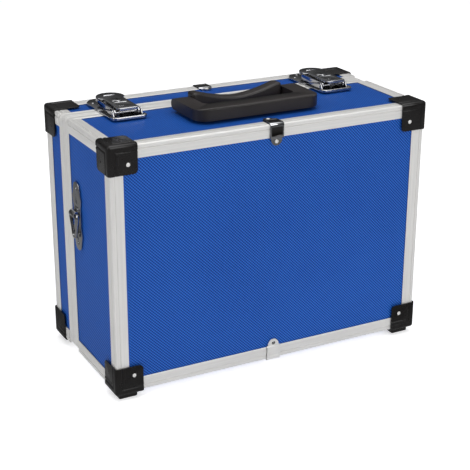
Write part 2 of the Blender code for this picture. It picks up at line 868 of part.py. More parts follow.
def build_hinge():
    axis_z = BOTTOM - HINGE_AXIS_DROP
    pitch = 2 * HINGE_HALF / HINGE_KNUCKLES
    for name, side_y, parity in (("hinge_leaf_body", -1, 0), ("hinge_leaf_lid", 1, 1)):
        y_low, y_high = sorted((SPLIT + side_y * LEAF_START, SPLIT + side_y * LEAF_REACH))
        leaf = box(
            name,
            (-HINGE_HALF, y_low, BOTTOM - GAP - LEAF_THICK),
            (HINGE_HALF, y_high, BOTTOM - GAP),
            "aluminium",
        )
        for number in range(HINGE_KNUCKLES):
            x_low = -HINGE_HALF + number * pitch + GAP
            x_high = x_low + pitch - 2 * GAP
            if number % 2 == parity:
                knuckle = rod(
                    f"{name}_knuckle_{number}",
                    (x_low, SPLIT, axis_z),
                    (x_high, SPLIT, axis_z),
                    KNUCKLE_RADIUS,
                    sides=20,
                )
                boolean(leaf, knuckle, "UNION")
            else:
                relief = rod(
                    f"{name}_relief_{number}",
                    (x_low - 2 * GAP, SPLIT, axis_z),
                    (x_high + 2 * GAP, SPLIT, axis_z),
                    KNUCKLE_RADIUS + GAP,
                    sides=20,
                )
                boolean(leaf, relief)
        bore = rod(
            f"{name}_bore",
            (-HINGE_HALF - 0.01, SPLIT, axis_z),
            (HINGE_HALF + 0.01, SPLIT, axis_z),
            KNUCKLE_BORE,
            sides=16,
        )
        boolean(leaf, bore)
        if side_y > 0:
            set_pivot(leaf, (0, SPLIT, axis_z))
    rod(
        "hinge_pin",
        (-HINGE_HALF, SPLIT, axis_z),
        (HINGE_HALF, SPLIT, axis_z),
        HINGE_PIN,
        "chrome",
        sides=16,
    )


build_body_frame()
build_lid_frame()
build_boards()
build_foam()
build_corners()
build_edge_clips()
build_handle()
for label, side in (("left", -1), ("right", 1)):
    build_latch(label, side)
    build_strap_bracket(label, side)
build_hinge()
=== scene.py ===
import json
import math

import bmesh
import bpy
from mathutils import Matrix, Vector


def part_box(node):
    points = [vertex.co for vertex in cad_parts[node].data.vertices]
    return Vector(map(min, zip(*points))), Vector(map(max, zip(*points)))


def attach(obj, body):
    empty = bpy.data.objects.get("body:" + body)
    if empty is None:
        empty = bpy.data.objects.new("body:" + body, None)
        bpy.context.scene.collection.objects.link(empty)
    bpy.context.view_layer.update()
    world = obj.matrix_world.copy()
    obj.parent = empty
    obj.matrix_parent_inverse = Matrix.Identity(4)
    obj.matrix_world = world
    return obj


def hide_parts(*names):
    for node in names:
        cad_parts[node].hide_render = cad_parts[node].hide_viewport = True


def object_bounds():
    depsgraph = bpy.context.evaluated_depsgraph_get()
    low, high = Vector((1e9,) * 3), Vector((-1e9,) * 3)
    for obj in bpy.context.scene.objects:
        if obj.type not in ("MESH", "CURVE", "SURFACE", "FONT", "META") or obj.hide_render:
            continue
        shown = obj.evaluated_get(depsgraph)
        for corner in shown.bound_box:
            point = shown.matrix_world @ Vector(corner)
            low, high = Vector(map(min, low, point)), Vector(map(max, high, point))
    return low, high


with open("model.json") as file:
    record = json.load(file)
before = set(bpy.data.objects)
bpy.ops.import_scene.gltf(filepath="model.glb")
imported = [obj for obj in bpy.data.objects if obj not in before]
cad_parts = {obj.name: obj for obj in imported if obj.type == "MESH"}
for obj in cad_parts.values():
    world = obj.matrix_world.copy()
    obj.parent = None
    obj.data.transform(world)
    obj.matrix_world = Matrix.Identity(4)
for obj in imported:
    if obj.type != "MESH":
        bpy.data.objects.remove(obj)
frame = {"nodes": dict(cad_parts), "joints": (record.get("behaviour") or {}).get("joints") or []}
cadLow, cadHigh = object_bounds()

# Main planes of the case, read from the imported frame
rimLow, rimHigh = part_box("body_rim")
left, right = rimLow.x, rimHigh.x
bottom, top = rimLow.z, rimHigh.z
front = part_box("body_edge_left")[0].y
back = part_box("lid_edge_frame")[1].y
split = [joint["pos_m"][1] for joint in frame["joints"] if joint["name"] == "lid_hinge"][0]
sides = {"left": -1, "right": 1}
sideAt = {-1: left, 1: right}
shells = (("body", -1, front), ("lid", 1, back))
levels = (("lower", -1, bottom), ("upper", 1, top))
bodyOf = {"body": "case_body", "lid": "lid"}

print("camera, floor and lights")

view = {
    "place": (-0.5157, -0.9746, 0.5339),
    "yaw": 27.79,
    "pitch": 21.22,
    "roll": -0.19,
    "lens": 92.8,
}


def addCamera():
    aim = (math.radians(90 - view["pitch"]), math.radians(view["roll"]), math.radians(-view["yaw"]))
    bpy.ops.object.camera_add(location=view["place"], rotation=aim)
    camera = bpy.context.object
    camera.name = "mainCamera"
    camera.data.lens = view["lens"]
    camera.data.sensor_width = 36
    camera.data.dof.use_dof = False
    bpy.context.scene.camera = camera


def rest():
    if bpy.context.object and bpy.context.object.mode != "OBJECT":
        bpy.ops.object.mode_set(mode="OBJECT")
    bpy.ops.object.select_all(action="DESELECT")


def addSoftbox(name, place, target, size, power, tint=(1.0, 1.0, 1.0)):
    bpy.ops.object.light_add(type="AREA", location=place)
    lamp = bpy.context.object
    lamp.name = name
    lamp.data.shape = "RECTANGLE"
    lamp.data.size, lamp.data.size_y = size
    lamp.data.energy = power
    lamp.data.color = tint
    lamp.rotation_euler = (Vector(target) - Vector(place)).to_track_quat("-Z", "Y").to_euler()
    return lamp


def addNode(tree, kind, values=None, **settings):
    node = tree.nodes.new(kind)
    for setting, value in settings.items():
        setattr(node, setting, value)
    for socket, value in (values or {}).items():
        node.inputs[socket].default_value = value
    return node


def combine(tree, operation, *values):
    # A sum worked out by a node from other nodes' outputs and plain numbers
    node = addNode(tree, "ShaderNodeMath", operation=operation)
    for socket, value in zip(node.inputs, values):
        if isinstance(value, float):
            socket.default_value = value
        else:
            tree.links.new(value, socket)
    return node.outputs[0]


def newMaterial(name, values):
    material = bpy.data.materials.new(name)
    material.use_nodes = True
    tree = material.node_tree
    shader = tree.nodes["Principled BSDF"]
    for socket, value in values.items():
        shader.inputs[socket].default_value = value
    return material, tree, shader


studio = {
    "floor": {
        "Base Color": (0.93, 0.93, 0.94, 1.0),
        "Specular IOR Level": 0.2,
        "Emission Color": (1.0, 1.0, 1.0, 1.0),
        "Emission Strength": 0.56,
    },
    "sky": ((0.30, 0.66), (0.45, 0.12), (0.60, 0.12), (0.88, 0.74)),
    "skyStrength": 0.42,
}


def makeStage():
    rest()
    bpy.ops.mesh.primitive_plane_add(size=14.0, location=(0, 0, cadLow.z - 0.0004))
    floor = bpy.context.object
    floor.name = "studioFloor"
    material, tree, shader = newMaterial("paleFloor", studio["floor"])
    grain = addNode(tree, "ShaderNodeTexNoise", {"Scale": 3.0, "Detail": 4.0})
    place = addNode(tree, "ShaderNodeTexCoord")
    tone = addNode(tree, "ShaderNodeMapRange", {"To Min": 0.55, "To Max": 0.75})
    tree.links.new(place.outputs["Object"], grain.inputs["Vector"])
    tree.links.new(grain.outputs["Fac"], tone.inputs["Value"])
    tree.links.new(tone.outputs["Result"], shader.inputs["Roughness"])
    floor.data.materials.append(material)
    floor.visible_glossy = False

    world = bpy.data.worlds.new("studioSky")
    bpy.context.scene.world = world
    world.use_nodes = True
    tree = world.node_tree
    background = tree.nodes["Background"]
    background.inputs["Strength"].default_value = studio["skyStrength"]
    direction = addNode(tree, "ShaderNodeTexCoord")
    axes = addNode(tree, "ShaderNodeSeparateXYZ")
    ramp = addNode(tree, "ShaderNodeValToRGB")
    stops = ramp.color_ramp.elements
    while len(stops) < len(studio["sky"]):
        stops.new(0.5)
    for stop, (position, level) in zip(stops, studio["sky"]):
        stop.position = position
        stop.color = (level * 0.98, level * 0.99, level, 1.0)
    tree.links.new(direction.outputs["Generated"], axes.inputs["Vector"])
    height = combine(tree, "MULTIPLY_ADD", axes.outputs["Z"], 0.5, 0.5)
    tree.links.new(height, ramp.inputs["Fac"])
    tree.links.new(ramp.outputs["Color"], background.inputs["Color"])


addCamera()
makeStage()
addSoftbox("overheadSoftbox", (0.1, -0.1, 2.2), (0, 0, 0.2), (2.2, 2.0), 30)
addSoftbox("frontSoftbox", (0.5, -2.4, 1.3), (0, 0, 0.12), (1.8, 1.4), 24)
addSoftbox("leftSoftbox", (-2.3, 0.1, 1.1), (0, 0, 0.12), (1.6, 1.3), 14)
bpy.context.scene.view_settings.view_transform = "Standard"

print("materials")

finish = {
    "aluminium": {"colour": (0.80, 0.79, 0.77), "rough": (0.36, 0.50)},
    "chrome": {"colour": (0.52, 0.52, 0.535), "rough": (0.06, 0.20)},
    # The board's dark and light are the painted shade and painted highlight of the embossed dots
    "board": {"dark": (0.0002, 0.006, 0.120), "light": (0.024, 0.155, 0.600), "pitch": 0.00096},
    "corner": {"colour": (0.0070, 0.0062, 0.0060), "rough": (0.20, 0.32), "shine": 0.42},
    "handle": {"colour": (0.0170, 0.0135, 0.0130), "rough": (0.36, 0.50), "shine": 0.50},
    "lining": {"colour": (0.030, 0.030, 0.032), "rough": (0.60, 0.80), "shine": 0.20},
    "foam": {"dark": (0.022, 0.022, 0.025), "light": (0.075, 0.075, 0.082)},
}


def linkBump(tree, shader, height, strength, distance):
    bump = addNode(tree, "ShaderNodeBump", {"Strength": strength, "Distance": distance})
    tree.links.new(height, bump.inputs["Height"])
    tree.links.new(bump.outputs["Normal"], shader.inputs["Normal"])


def paint(tree, shader, fac, dark, light):
    mix = addNode(tree, "ShaderNodeMix", data_type="RGBA")
    mix.inputs["A"].default_value = (*dark, 1.0)
    mix.inputs["B"].default_value = (*light, 1.0)
    tree.links.new(fac, mix.inputs["Factor"])
    tree.links.new(mix.outputs["Result"], shader.inputs["Base Color"])


def spread(tree, value, low, high, fromLow=0.0, fromHigh=1.0):
    settings = {"From Min": fromLow, "From Max": fromHigh, "To Min": low, "To Max": high}
    node = addNode(tree, "ShaderNodeMapRange", settings)
    tree.links.new(value, node.inputs["Value"])
    return node.outputs["Result"]


def noise(tree, scale, detail=3.0, stretch=(1.0, 1.0, 1.0)):
    place = addNode(tree, "ShaderNodeTexCoord")
    mapping = addNode(tree, "ShaderNodeMapping", {"Scale": stretch})
    texture = addNode(tree, "ShaderNodeTexNoise", {"Scale": scale, "Detail": detail})
    tree.links.new(place.outputs["Object"], mapping.inputs["Vector"])
    tree.links.new(mapping.outputs["Vector"], texture.inputs["Vector"])
    return texture.outputs["Fac"]


def aluminiumMaterial(name, along):
    stretch = [1.0, 1.0, 1.0]
    stretch["XYZ".index(along)] = 0.012  # die lines run the length of the extrusion
    material, tree, shader = newMaterial(name, {"Metallic": 0.35})
    lines = noise(tree, 900.0, 2.0, stretch)
    grain = noise(tree, 1500.0, 4.0)
    smudge = noise(tree, 26.0, 5.0)
    colour = finish["aluminium"]["colour"]
    darker = tuple(value * 0.93 for value in colour)
    paint(tree, shader, spread(tree, lines, 0.0, 1.0, 0.35, 0.65), darker, colour)
    worn = combine(tree, "MULTIPLY_ADD", grain, 0.5, smudge)
    rough = spread(tree, worn, *finish["aluminium"]["rough"], 0.45, 1.05)
    tree.links.new(rough, shader.inputs["Roughness"])
    linkBump(tree, shader, combine(tree, "MULTIPLY_ADD", lines, 0.6, grain), 0.25, 0.00004)
    return material


def chromeMaterial(name, colour, rough):
    material, tree, shader = newMaterial(name, {"Metallic": 1.0})
    wave = noise(tree, 130.0, 2.0)
    scuff = noise(tree, 700.0, 6.0)
    darker = tuple(value * 0.86 for value in colour)
    paint(tree, shader, spread(tree, scuff, 0.0, 1.0, 0.3, 0.7), darker, colour)
    tree.links.new(spread(tree, scuff, *rough, 0.35, 0.75), shader.inputs["Roughness"])
    linkBump(tree, shader, wave, 0.30, 0.00035)
    return material


def boardMaterial(name, across, up, start):
    # Embossed laminate: diagonal rows of raised dots, in step with the moulded surface. The colour is painted
    # lighter on the raised dots and darker between them, a painted highlight and painted shade of the relief,
    # over a random mottle.
    material, tree, shader = newMaterial(name, {"Specular IOR Level": 0.12})
    place = addNode(tree, "ShaderNodeTexCoord")
    axes = addNode(tree, "ShaderNodeSeparateXYZ")
    tree.links.new(place.outputs["Object"], axes.inputs["Vector"])
    board = finish["board"]
    turn = 2 * math.pi / (3 * board["pitch"])
    waves = []
    for operation, first in (("ADD", start[0] + start[1]), ("SUBTRACT", start[0] - start[1])):
        distance = combine(tree, operation, axes.outputs[across], axes.outputs[up])
        waves.append(combine(tree, "COSINE", combine(tree, "MULTIPLY_ADD", distance, turn, -first * turn)))
    twill = combine(tree, "MULTIPLY_ADD", waves[1], 0.45, waves[0])
    crest = spread(tree, twill, 0.0, 1.0, -1.10, 1.25)
    fine = noise(tree, 2600.0, 3.0)
    mottleAndEmbossShade = combine(tree, "MULTIPLY_ADD", noise(tree, 9.0, 4.0), 0.20, crest)
    # The blues follow the raised dots: painted shade between the dots and painted highlight on them, plus a
    # random mottle
    paint(tree, shader, spread(tree, mottleAndEmbossShade, 0.0, 1.0, 0.05, 1.15), board["dark"], board["light"])
    tree.links.new(spread(tree, fine, 0.34, 0.50), shader.inputs["Roughness"])
    linkBump(tree, shader, combine(tree, "MULTIPLY_ADD", fine, 0.12, crest), 0.35, 0.00010)
    return material


def plasticMaterial(name, kind, grainScale, grainDepth, strength):
    material, tree, shader = newMaterial(name, {"Specular IOR Level": finish[kind]["shine"]})
    grain = noise(tree, grainScale, 3.0)
    handled = noise(tree, 45.0, 4.0)
    colour = finish[kind]["colour"]
    paler = tuple(value * 1.5 for value in colour)
    paint(tree, shader, spread(tree, handled, 0.0, 1.0, 0.35, 0.75), colour, paler)
    tree.links.new(spread(tree, handled, *finish[kind]["rough"], 0.3, 0.7), shader.inputs["Roughness"])
    linkBump(tree, shader, grain, strength, grainDepth)
    return material


def foamMaterial():
    values = {"Roughness": 0.95, "Sheen Weight": 0.25, "Sheen Roughness": 0.6}
    material, tree, shader = newMaterial("openCellFoam", values)
    place = addNode(tree, "ShaderNodeTexCoord")
    cells = addNode(tree, "ShaderNodeTexVoronoi", {"Scale": 850.0})
    tree.links.new(place.outputs["Object"], cells.inputs["Vector"])
    speckled = combine(tree, "MULTIPLY", cells.outputs["Distance"], noise(tree, 1400.0, 5.0))
    fac = spread(tree, speckled, 0.0, 1.0, 0.05, 0.45)
    paint(tree, shader, fac, finish["foam"]["dark"], finish["foam"]["light"])
    linkBump(tree, shader, cells.outputs["Distance"], 0.6, 0.0006)
    return material


aluminium = {along: aluminiumMaterial(f"satinAluminium{along}", along) for along in "XYZ"}
chrome = chromeMaterial("brightNickel", finish["chrome"]["colour"], finish["chrome"]["rough"])
# Dark nickel for the clips' pressed-in middles: a painted dark reflection, not a finish of the metal
nickelDarkReflection = chromeMaterial("nickelPaintedDarkReflection", (0.085, 0.080, 0.078), (0.10, 0.24))
# Near-black rivet steel for the side and top wings and the handle bracket: a painted dark reflection on
# rivets of the same metal as the bright ones
rivetDarkReflection = chromeMaterial("rivetPaintedDarkReflection", (0.035, 0.033, 0.032), (0.25, 0.45))
cornerPlastic = plasticMaterial("satinBlackPlastic", "corner", 900.0, 0.00006, 0.35)
handlePlastic = plasticMaterial("grainedHandlePlastic", "handle", 1300.0, 0.00018, 0.55)
lining = plasticMaterial("greyLining", "lining", 700.0, 0.00010, 0.5)
foam = foamMaterial()

print("tools for modelling")


def startEdit(kind="FACE"):
    bpy.ops.object.mode_set(mode="EDIT")
    bpy.ops.mesh.select_mode(type=kind)


def pick(kind, test):
    # Select the corners, edges or faces of the mesh in hand that pass a test of their place
    bpy.ops.mesh.select_mode(type=kind)
    bpy.ops.mesh.select_all(action="DESELECT")
    shape = bmesh.from_edit_mesh(bpy.context.object.data)
    for part in {"VERT": shape.verts, "EDGE": shape.edges, "FACE": shape.faces}[kind]:
        if kind == "VERT":
            chosen = test(part.co)
        elif kind == "EDGE":
            first, last = part.verts[0].co, part.verts[1].co
            chosen = test((first + last) / 2, last - first)
        else:
            chosen = test(part.calc_center_median(), part.normal)
        if chosen:
            part.select_set(True)
    bmesh.update_edit_mesh(bpy.context.object.data)


def extrude(move):
    bpy.ops.mesh.extrude_region_move(TRANSFORM_OT_translate={"value": tuple(move)})


def cutAt(place, normal):
    bpy.ops.mesh.select_all(action="SELECT")
    bpy.ops.mesh.bisect(plane_co=tuple(place), plane_no=tuple(normal))


def settle(name):
    # Name the piece just made and apply its place to the mesh
    piece = bpy.context.object
    piece.name = name
    bpy.ops.object.transform_apply(location=True, rotation=True, scale=True)
    return piece


def startOutline(name, points):
    # Draw a closed outline corner by corner, starting from one point
    rest()
    points = [Vector(point) for point in points]
    bpy.ops.mesh.primitive_plane_add(size=0.001, location=points[0])
    piece = settle(name)
    startEdit("VERT")
    bpy.ops.mesh.select_all(action="SELECT")
    bpy.ops.mesh.merge(type="CENTER")
    for here, following in zip(points, points[1:] + points[:1]):
        extrude(following - here)
    bpy.ops.mesh.select_all(action="SELECT")
    bpy.ops.mesh.remove_doubles(threshold=0.000002)
    return piece


def slab(name, points, thickness):
    # A closed outline filled and pulled out to a thickness
    piece = startOutline(name, points)
    bpy.ops.mesh.select_all(action="SELECT")
    bpy.ops.mesh.edge_face_add()
    extrude(thickness)
    closeShape()
    return piece


def closeShape():
    bpy.ops.mesh.select_all(action="SELECT")
    bpy.ops.mesh.remove_doubles(threshold=0.000002)
    bpy.ops.mesh.normals_make_consistent(inside=False)
    bpy.ops.object.mode_set(mode="OBJECT")


def take(piece):
    rest()
    piece.select_set(True)
    bpy.context.view_layer.objects.active = piece


def roundEdges(piece, width, segments=3, angle=35):
    take(piece)
    modifier = piece.modifiers.new("roundedEdges", "BEVEL")
    modifier.width = width
    modifier.segments = segments
    modifier.limit_method = "ANGLE"
    modifier.angle_limit = math.radians(angle)
    bpy.ops.object.modifier_apply(modifier=modifier.name)


def cutWith(piece, tool, rounding=None, operation="DIFFERENCE"):
    # The tool's edges may be rounded first, by (width, segments, angle)
    if rounding:
        roundEdges(tool, *rounding)
    take(piece)
    modifier = piece.modifiers.new("cut", "BOOLEAN")
    modifier.operation = operation
    modifier.object = tool
    modifier.solver = "EXACT"
    bpy.ops.object.modifier_apply(modifier=modifier.name)
    bpy.data.objects.remove(tool, do_unlink=True)


def joinTo(piece, tool, rounding=None):
    cutWith(piece, tool, rounding, "UNION")


def smooth(piece, angle=32):
    take(piece)
    bpy.ops.object.shade_smooth_by_angle(angle=math.radians(angle))


def complete(piece, body, slot, material, *nodes):
    # Place is applied to the mesh, then the piece rides on its body
    take(piece)
    bpy.ops.object.transform_apply(location=True, rotation=True, scale=True)
    if not piece.data.materials:
        piece.data.materials.append(material)
    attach(piece, body)
    if nodes:
        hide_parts(*nodes)
    return piece


def completePlated(piece, body, node):
    smooth(piece, 38)
    complete(piece, body, "chrome", chrome, node)


def twin(piece, name, scale=(1, 1, 1), move=(0, 0, 0)):
    # A copy with its own mesh, mirrored through the origin's planes if asked, then moved
    take(piece)
    bpy.ops.object.duplicate()
    copy = bpy.context.object
    copy.name = name
    copy.scale = scale
    bpy.ops.object.transform_apply(location=False, rotation=False, scale=True)
    if scale[0] * scale[1] * scale[2] < 0:
        startEdit()
        closeShape()
    copy.location = move
    bpy.ops.object.transform_apply(location=True, rotation=False, scale=False)
    return copy


def arc(centre, radius, first, last, steps):
    points = []
    for step in range(steps + 1):
        angle = math.radians(first + (last - first) * step / steps)
        points.append((centre[0] + radius * math.cos(angle), centre[1] + radius * math.sin(angle)))
    return points


def block(name, low, high):
    rest()
    low, high = Vector(low), Vector(high)
    bpy.ops.mesh.primitive_cube_add(size=1.0, location=(low + high) / 2, scale=high - low)
    return settle(name)


def gridSheet(name, columns, rows, scale, turn, place):
    rest()
    bpy.ops.mesh.primitive_grid_add(x_subdivisions=columns, y_subdivisions=rows, size=1.0)
    piece = bpy.context.object
    piece.scale = scale
    piece.rotation_euler = turn
    piece.location = place
    return settle(name)


def thicken(move):
    # Pull the open edge of a sheet back and close it, for a solid piece
    bpy.ops.mesh.select_mode(type="EDGE")
    bpy.ops.mesh.select_all(action="DESELECT")
    bpy.ops.mesh.select_non_manifold()
    extrude(move)
    bpy.ops.mesh.edge_face_add()
    closeShape()


def roundBar(name, start, end, radius, sides=32):
    rest()
    start, end = Vector(start), Vector(end)
    bpy.ops.mesh.primitive_cylinder_add(vertices=sides, radius=radius, depth=(end - start).length)
    piece = bpy.context.object
    piece.rotation_euler = (end - start).to_track_quat("Z", "Y").to_euler()
    piece.location = (start + end) / 2
    return settle(name)


print("rivets")

rivet = {"radius": 0.0021, "height": 0.0010, "brim": 0.0003}


def rivetMesh():
    # Domed head on a thin brim, standing up from the origin
    rest()
    bpy.ops.mesh.primitive_cylinder_add(vertices=20, radius=rivet["radius"], depth=rivet["brim"])
    piece = bpy.context.object
    piece.location.z = rivet["brim"] / 2
    bpy.ops.object.transform_apply(location=True)
    startEdit("FACE")
    pick("FACE", lambda centre, normal: normal.z > 0.9)
    bpy.ops.mesh.inset(thickness=rivet["radius"] * 0.08)
    for rise, shrink in ((0.42, 0.90), (0.30, 0.74), (0.18, 0.55), (0.08, 0.35)):
        extrude((0, 0, rise * (rivet["height"] - rivet["brim"])))
        bpy.ops.transform.resize(value=(shrink, shrink, 1))
    closeShape()
    smooth(piece, 50)
    return piece


rivetModel = rivetMesh()
rivetModel.hide_render = True


def addRivet(name, place, facing, body, slot="chrome", material=None, size=1.0):
    take(rivetModel)
    bpy.ops.object.duplicate()
    copy = bpy.context.object
    copy.name = name
    copy.hide_render = False
    copy.scale = (size, size, size)
    copy.rotation_euler = Vector(facing).to_track_quat("Z", "Y").to_euler()
    copy.location = place
    return complete(copy, body, slot, material or chrome)


print("aluminium frame")

extrusion = {
    "leg": 0.0126,
    "skin": 0.0008,
    "web": 0.0047,
    "lip": 0.0100,
    "gap": 0.0003,
    "round": 0.0013,
    # distance from the corner and depth under the surface: a groove, a flat and a rounded end
    "relief": (
        (0.0036, 0.0),
        (0.0040, 0.00060),
        (0.0044, 0.00060),
        (0.0048, 0.0),
        (0.0088, 0.0),
        (0.0092, 0.00012),
        (0.0112, 0.00012),
        (0.0119, 0.00022),
        (0.0124, 0.00045),
    ),
}


def extrusionSection():
    size = extrusion
    lip = size["web"] + 0.0005
    slot = size["web"] - size["gap"]
    outer = [(size["leg"], size["skin"])] + list(reversed(size["relief"]))
    outer += arc((size["round"], size["round"]), size["round"], 270, 180, 4)
    outer += [(depth, distance) for distance, depth in size["relief"]]
    outer += [(size["skin"], size["leg"]), (size["skin"], size["web"]), (slot, size["web"])]
    outer += [(slot, size["lip"]), (lip, size["lip"]), (lip, lip), (size["lip"], lip), (size["lip"], slot)]
    return outer + [(size["web"], slot), (size["web"], size["skin"])]


def addExtrusion(name, start, end, inwardA, inwardB, body, *nodes):
    start, end = Vector(start), Vector(end)
    run = end - start
    along = "XYZ"[max(range(3), key=lambda axis: abs(run[axis]))]
    points = [start + Vector(inwardA) * a + Vector(inwardB) * b for a, b in extrusionSection()]
    piece = slab(name, points, run)
    smooth(piece, 28)
    return complete(piece, body, "aluminium", aluminium[along], *nodes)


rim = {
    "leg": 0.0116,
    "lipBack": 0.0100,
    "tongueIn": 0.0022,
    "tongueOut": 0.0034,
    "tongueReach": 0.0024,
    "play": 0.0006,
    "bend": 0.0060,
    "bendSteps": 8,
}


def rimFace(end):
    # Outer skin of a rim from the parting line back, as (inset, distance from the parting line)
    leg = rim["leg"]
    face = [(0.00045, end), (0.00012, end + 0.00018), (0.0, end + 0.0005), (0.0, 0.0030), (0.00022, 0.0033)]
    face += [(0.00022, 0.0083), (0.0, 0.0086), (0.0, leg - 0.0012), (0.00012, leg - 0.0006)]
    return face + [(0.00045, leg - 0.0001), (extrusion["skin"], leg)]


def bodyRimSection(end):
    lip, slot, flange = extrusion["web"] + 0.0005, extrusion["web"] - extrusion["gap"], 0.0024
    section = rimFace(end)
    section += [(extrusion["skin"], flange), (slot, flange), (slot, rim["lipBack"]), (lip, rim["lipBack"])]
    section += [(lip, end), (rim["tongueOut"], end), (rim["tongueOut"], -rim["tongueReach"] + 0.0004)]
    section += [(rim["tongueOut"] - 0.0003, -rim["tongueReach"])]
    section += [(rim["tongueIn"] + 0.0003, -rim["tongueReach"])]
    return section + [(rim["tongueIn"], -rim["tongueReach"] + 0.0004), (rim["tongueIn"], end)]


def lidRimSection(end):
    lip, slot = extrusion["web"] + 0.0005, extrusion["web"] - extrusion["gap"]
    grooveIn, grooveOut = rim["tongueIn"] - rim["play"], rim["tongueOut"] + rim["play"]
    floor = rim["tongueReach"] + 0.0010
    section = rimFace(end)
    section += [(extrusion["skin"], floor + 0.0010), (slot, floor + 0.0010), (slot, rim["lipBack"])]
    section += [(lip, rim["lipBack"]), (lip, end), (grooveOut, end), (grooveOut, floor)]
    return section + [(grooveIn, floor), (grooveIn, end)]


def addRim(name, section, towards, body, node):
    # The section is drawn at the lower left, pushed along each side and spun round each corner
    bend, width, height = rim["bend"], right - left, top - bottom
    points = [(left + bend, split + towards * distance, bottom + inset) for inset, distance in section]
    piece = startOutline(name, points)
    bpy.ops.mesh.select_all(action="SELECT")
    turns = ((right - bend, bottom + bend), (right - bend, top - bend))
    turns += ((left + bend, top - bend), (left + bend, bottom + bend))
    runs = ((width - 2 * bend, 0), (0, height - 2 * bend), (2 * bend - width, 0), (0, 2 * bend - height))
    for (runX, runZ), (turnX, turnZ) in zip(runs, turns):
        extrude((runX, 0, runZ))
        steps, centre = rim["bendSteps"], (turnX, 0, turnZ)
        bpy.ops.mesh.spin(steps=steps, angle=math.pi / 2, center=centre, axis=(0, 1, 0))
    closeShape()
    piece.data.materials.append(aluminium["X"])
    piece.data.materials.append(aluminium["Z"])
    for face in piece.data.polygons:
        nearSide = min(face.center.x - left, right - face.center.x)
        nearEnd = min(face.center.z - bottom, top - face.center.z)
        face.material_index = int(nearSide < nearEnd)
    smooth(piece, 28)
    return complete(piece, body, "aluminium", None, node)


def addFrame():
    inner = extrusion["leg"] + 2 * extrusion["gap"]
    up, down, forward, backward = (0, 0, 1), (0, 0, -1), (0, -1, 0), (0, 1, 0)
    edgeNodes = {"body": "body_edge_{}", "lid": "lid_edge_frame"}
    for shell, face, inward in (("body", front, backward), ("lid", back, forward)):
        body = bodyOf[shell]
        for label, z, vertical in (("hinge_side", bottom, up), ("latch_side", top, down)):
            name, node = f"{shell}Edge_{label}", edgeNodes[shell].format(label)
            addExtrusion(name, (left, face, z), (right, face, z), vertical, inward, body, node)
        for label, side in sides.items():
            x = sideAt[side]
            name, node = f"{shell}Edge_{label}", edgeNodes[shell].format(label)
            start, end = (x, face, bottom + inner), (x, face, top - inner)
            addExtrusion(name, start, end, (-side, 0, 0), inward, body, node)
            for level, z, vertical in (("lower", bottom, up), ("upper", top, down)):
                towards = 1 if shell == "body" else -1
                y = face + towards * inner
                rimEnd = split - towards * (rim["leg"] + extrusion["gap"])
                start, end = (x, y, z), (x, rimEnd, z)
                name, node = f"{shell}Post_{level}_{label}", f"{shell}_post_{level}_{label}"
                addExtrusion(name, start, end, (-side, 0, 0), vertical, body, node)
    halfGap = extrusion["gap"] / 2
    addRim("bodyRim", bodyRimSection(halfGap), -1, "case_body", "body_rim")
    addRim("lidRim", lidRimSection(halfGap), 1, "lid", "lid_rim")


addFrame()

print("embossed boards")

emboss = {"depth": 0.00025, "second": 0.60}

boardTurns = {
    (1, -1): (90, 0, 0),
    (1, 1): (-90, 0, 0),
    (0, -1): (90, 0, -90),
    (0, 1): (90, 0, 90),
    (2, 1): (0, 0, 0),
    (2, -1): (180, 0, 0),
}


def addBoard(name, node, axis, facing, body):
    # A laminated board whose outer skin carries the raised lattice
    low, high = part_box(node)
    across, up = [(1, 2), (0, 2), (0, 1)][axis]
    pitch, depth = finish["board"]["pitch"], emboss["depth"]
    columns = int((high[across] - low[across]) / pitch)
    rows = int((high[up] - low[up]) / pitch)
    centre = (low + high) / 2
    start = (centre[across] - columns * pitch / 2, centre[up] - rows * pitch / 2)
    outward = Vector([facing if index == axis else 0 for index in range(3)])
    face = centre.copy()
    face[axis] = (high if facing > 0 else low)[axis] - facing * depth
    turn = [math.radians(angle) for angle in boardTurns[axis, facing]]
    piece = gridSheet(name, columns, rows, (columns * pitch, rows * pitch, 1), turn, face)
    startEdit("VERT")
    for full, share in ((True, 1.0), (False, emboss["second"])):
        pick("VERT", lambda co: isRaised(co, across, up, start, pitch, columns, rows, full))
        bpy.ops.transform.translate(value=tuple(outward * depth * share))
    thicken(outward * (depth - (high[axis] - low[axis])))
    smooth(piece, 60)
    piece.data.materials.append(boardMaterial(f"embossedBoard_{name}", "XYZ"[across], "XYZ"[up], start))
    piece.data.materials.append(lining)
    for polygon in piece.data.polygons:
        polygon.material_index = int(polygon.normal.dot(outward) < -0.5)
    return complete(piece, body, "blue_board", None, node)


def isRaised(co, across, up, start, pitch, columns, rows, full):
    column = round((co[across] - start[0]) / pitch)
    row = round((co[up] - start[1]) / pitch)
    inside = 0 < column < columns and 0 < row < rows
    return inside and (column + row) % 3 == 0 and (column % 3 == 0) == full


addBoard("frontBoard", "base_panel", 1, -1, "case_body")
addBoard("lidBoard", "lid_panel", 1, 1, "lid")
walls = {"left": (0, -1), "right": (0, 1), "hinge_side": (2, -1), "latch_side": (2, 1)}
for shell, body in bodyOf.items():
    for label, (axis, facing) in walls.items():
        addBoard(f"{shell}Wall_{label}", f"{shell}_wall_{label}", axis, facing, body)

print("corner protectors and feet")

corner = {
    "reach": 0.0255,
    "proud": 0.0017,
    "round": 0.0030,
    # distance in from the edge and how far the surface drops there: a groove, then a raised panel
    "steps": ((0.0040, 0.00060), (0.0054, -0.00045), (0.0076, 0.00030)),
    "slope": 0.0004,
    "wingRound": 0.0038,
    "rivet": 0.0166,
}

feet = {"body": (0.0030, 0.0180), "lid": (0.0085, 0.0120)}


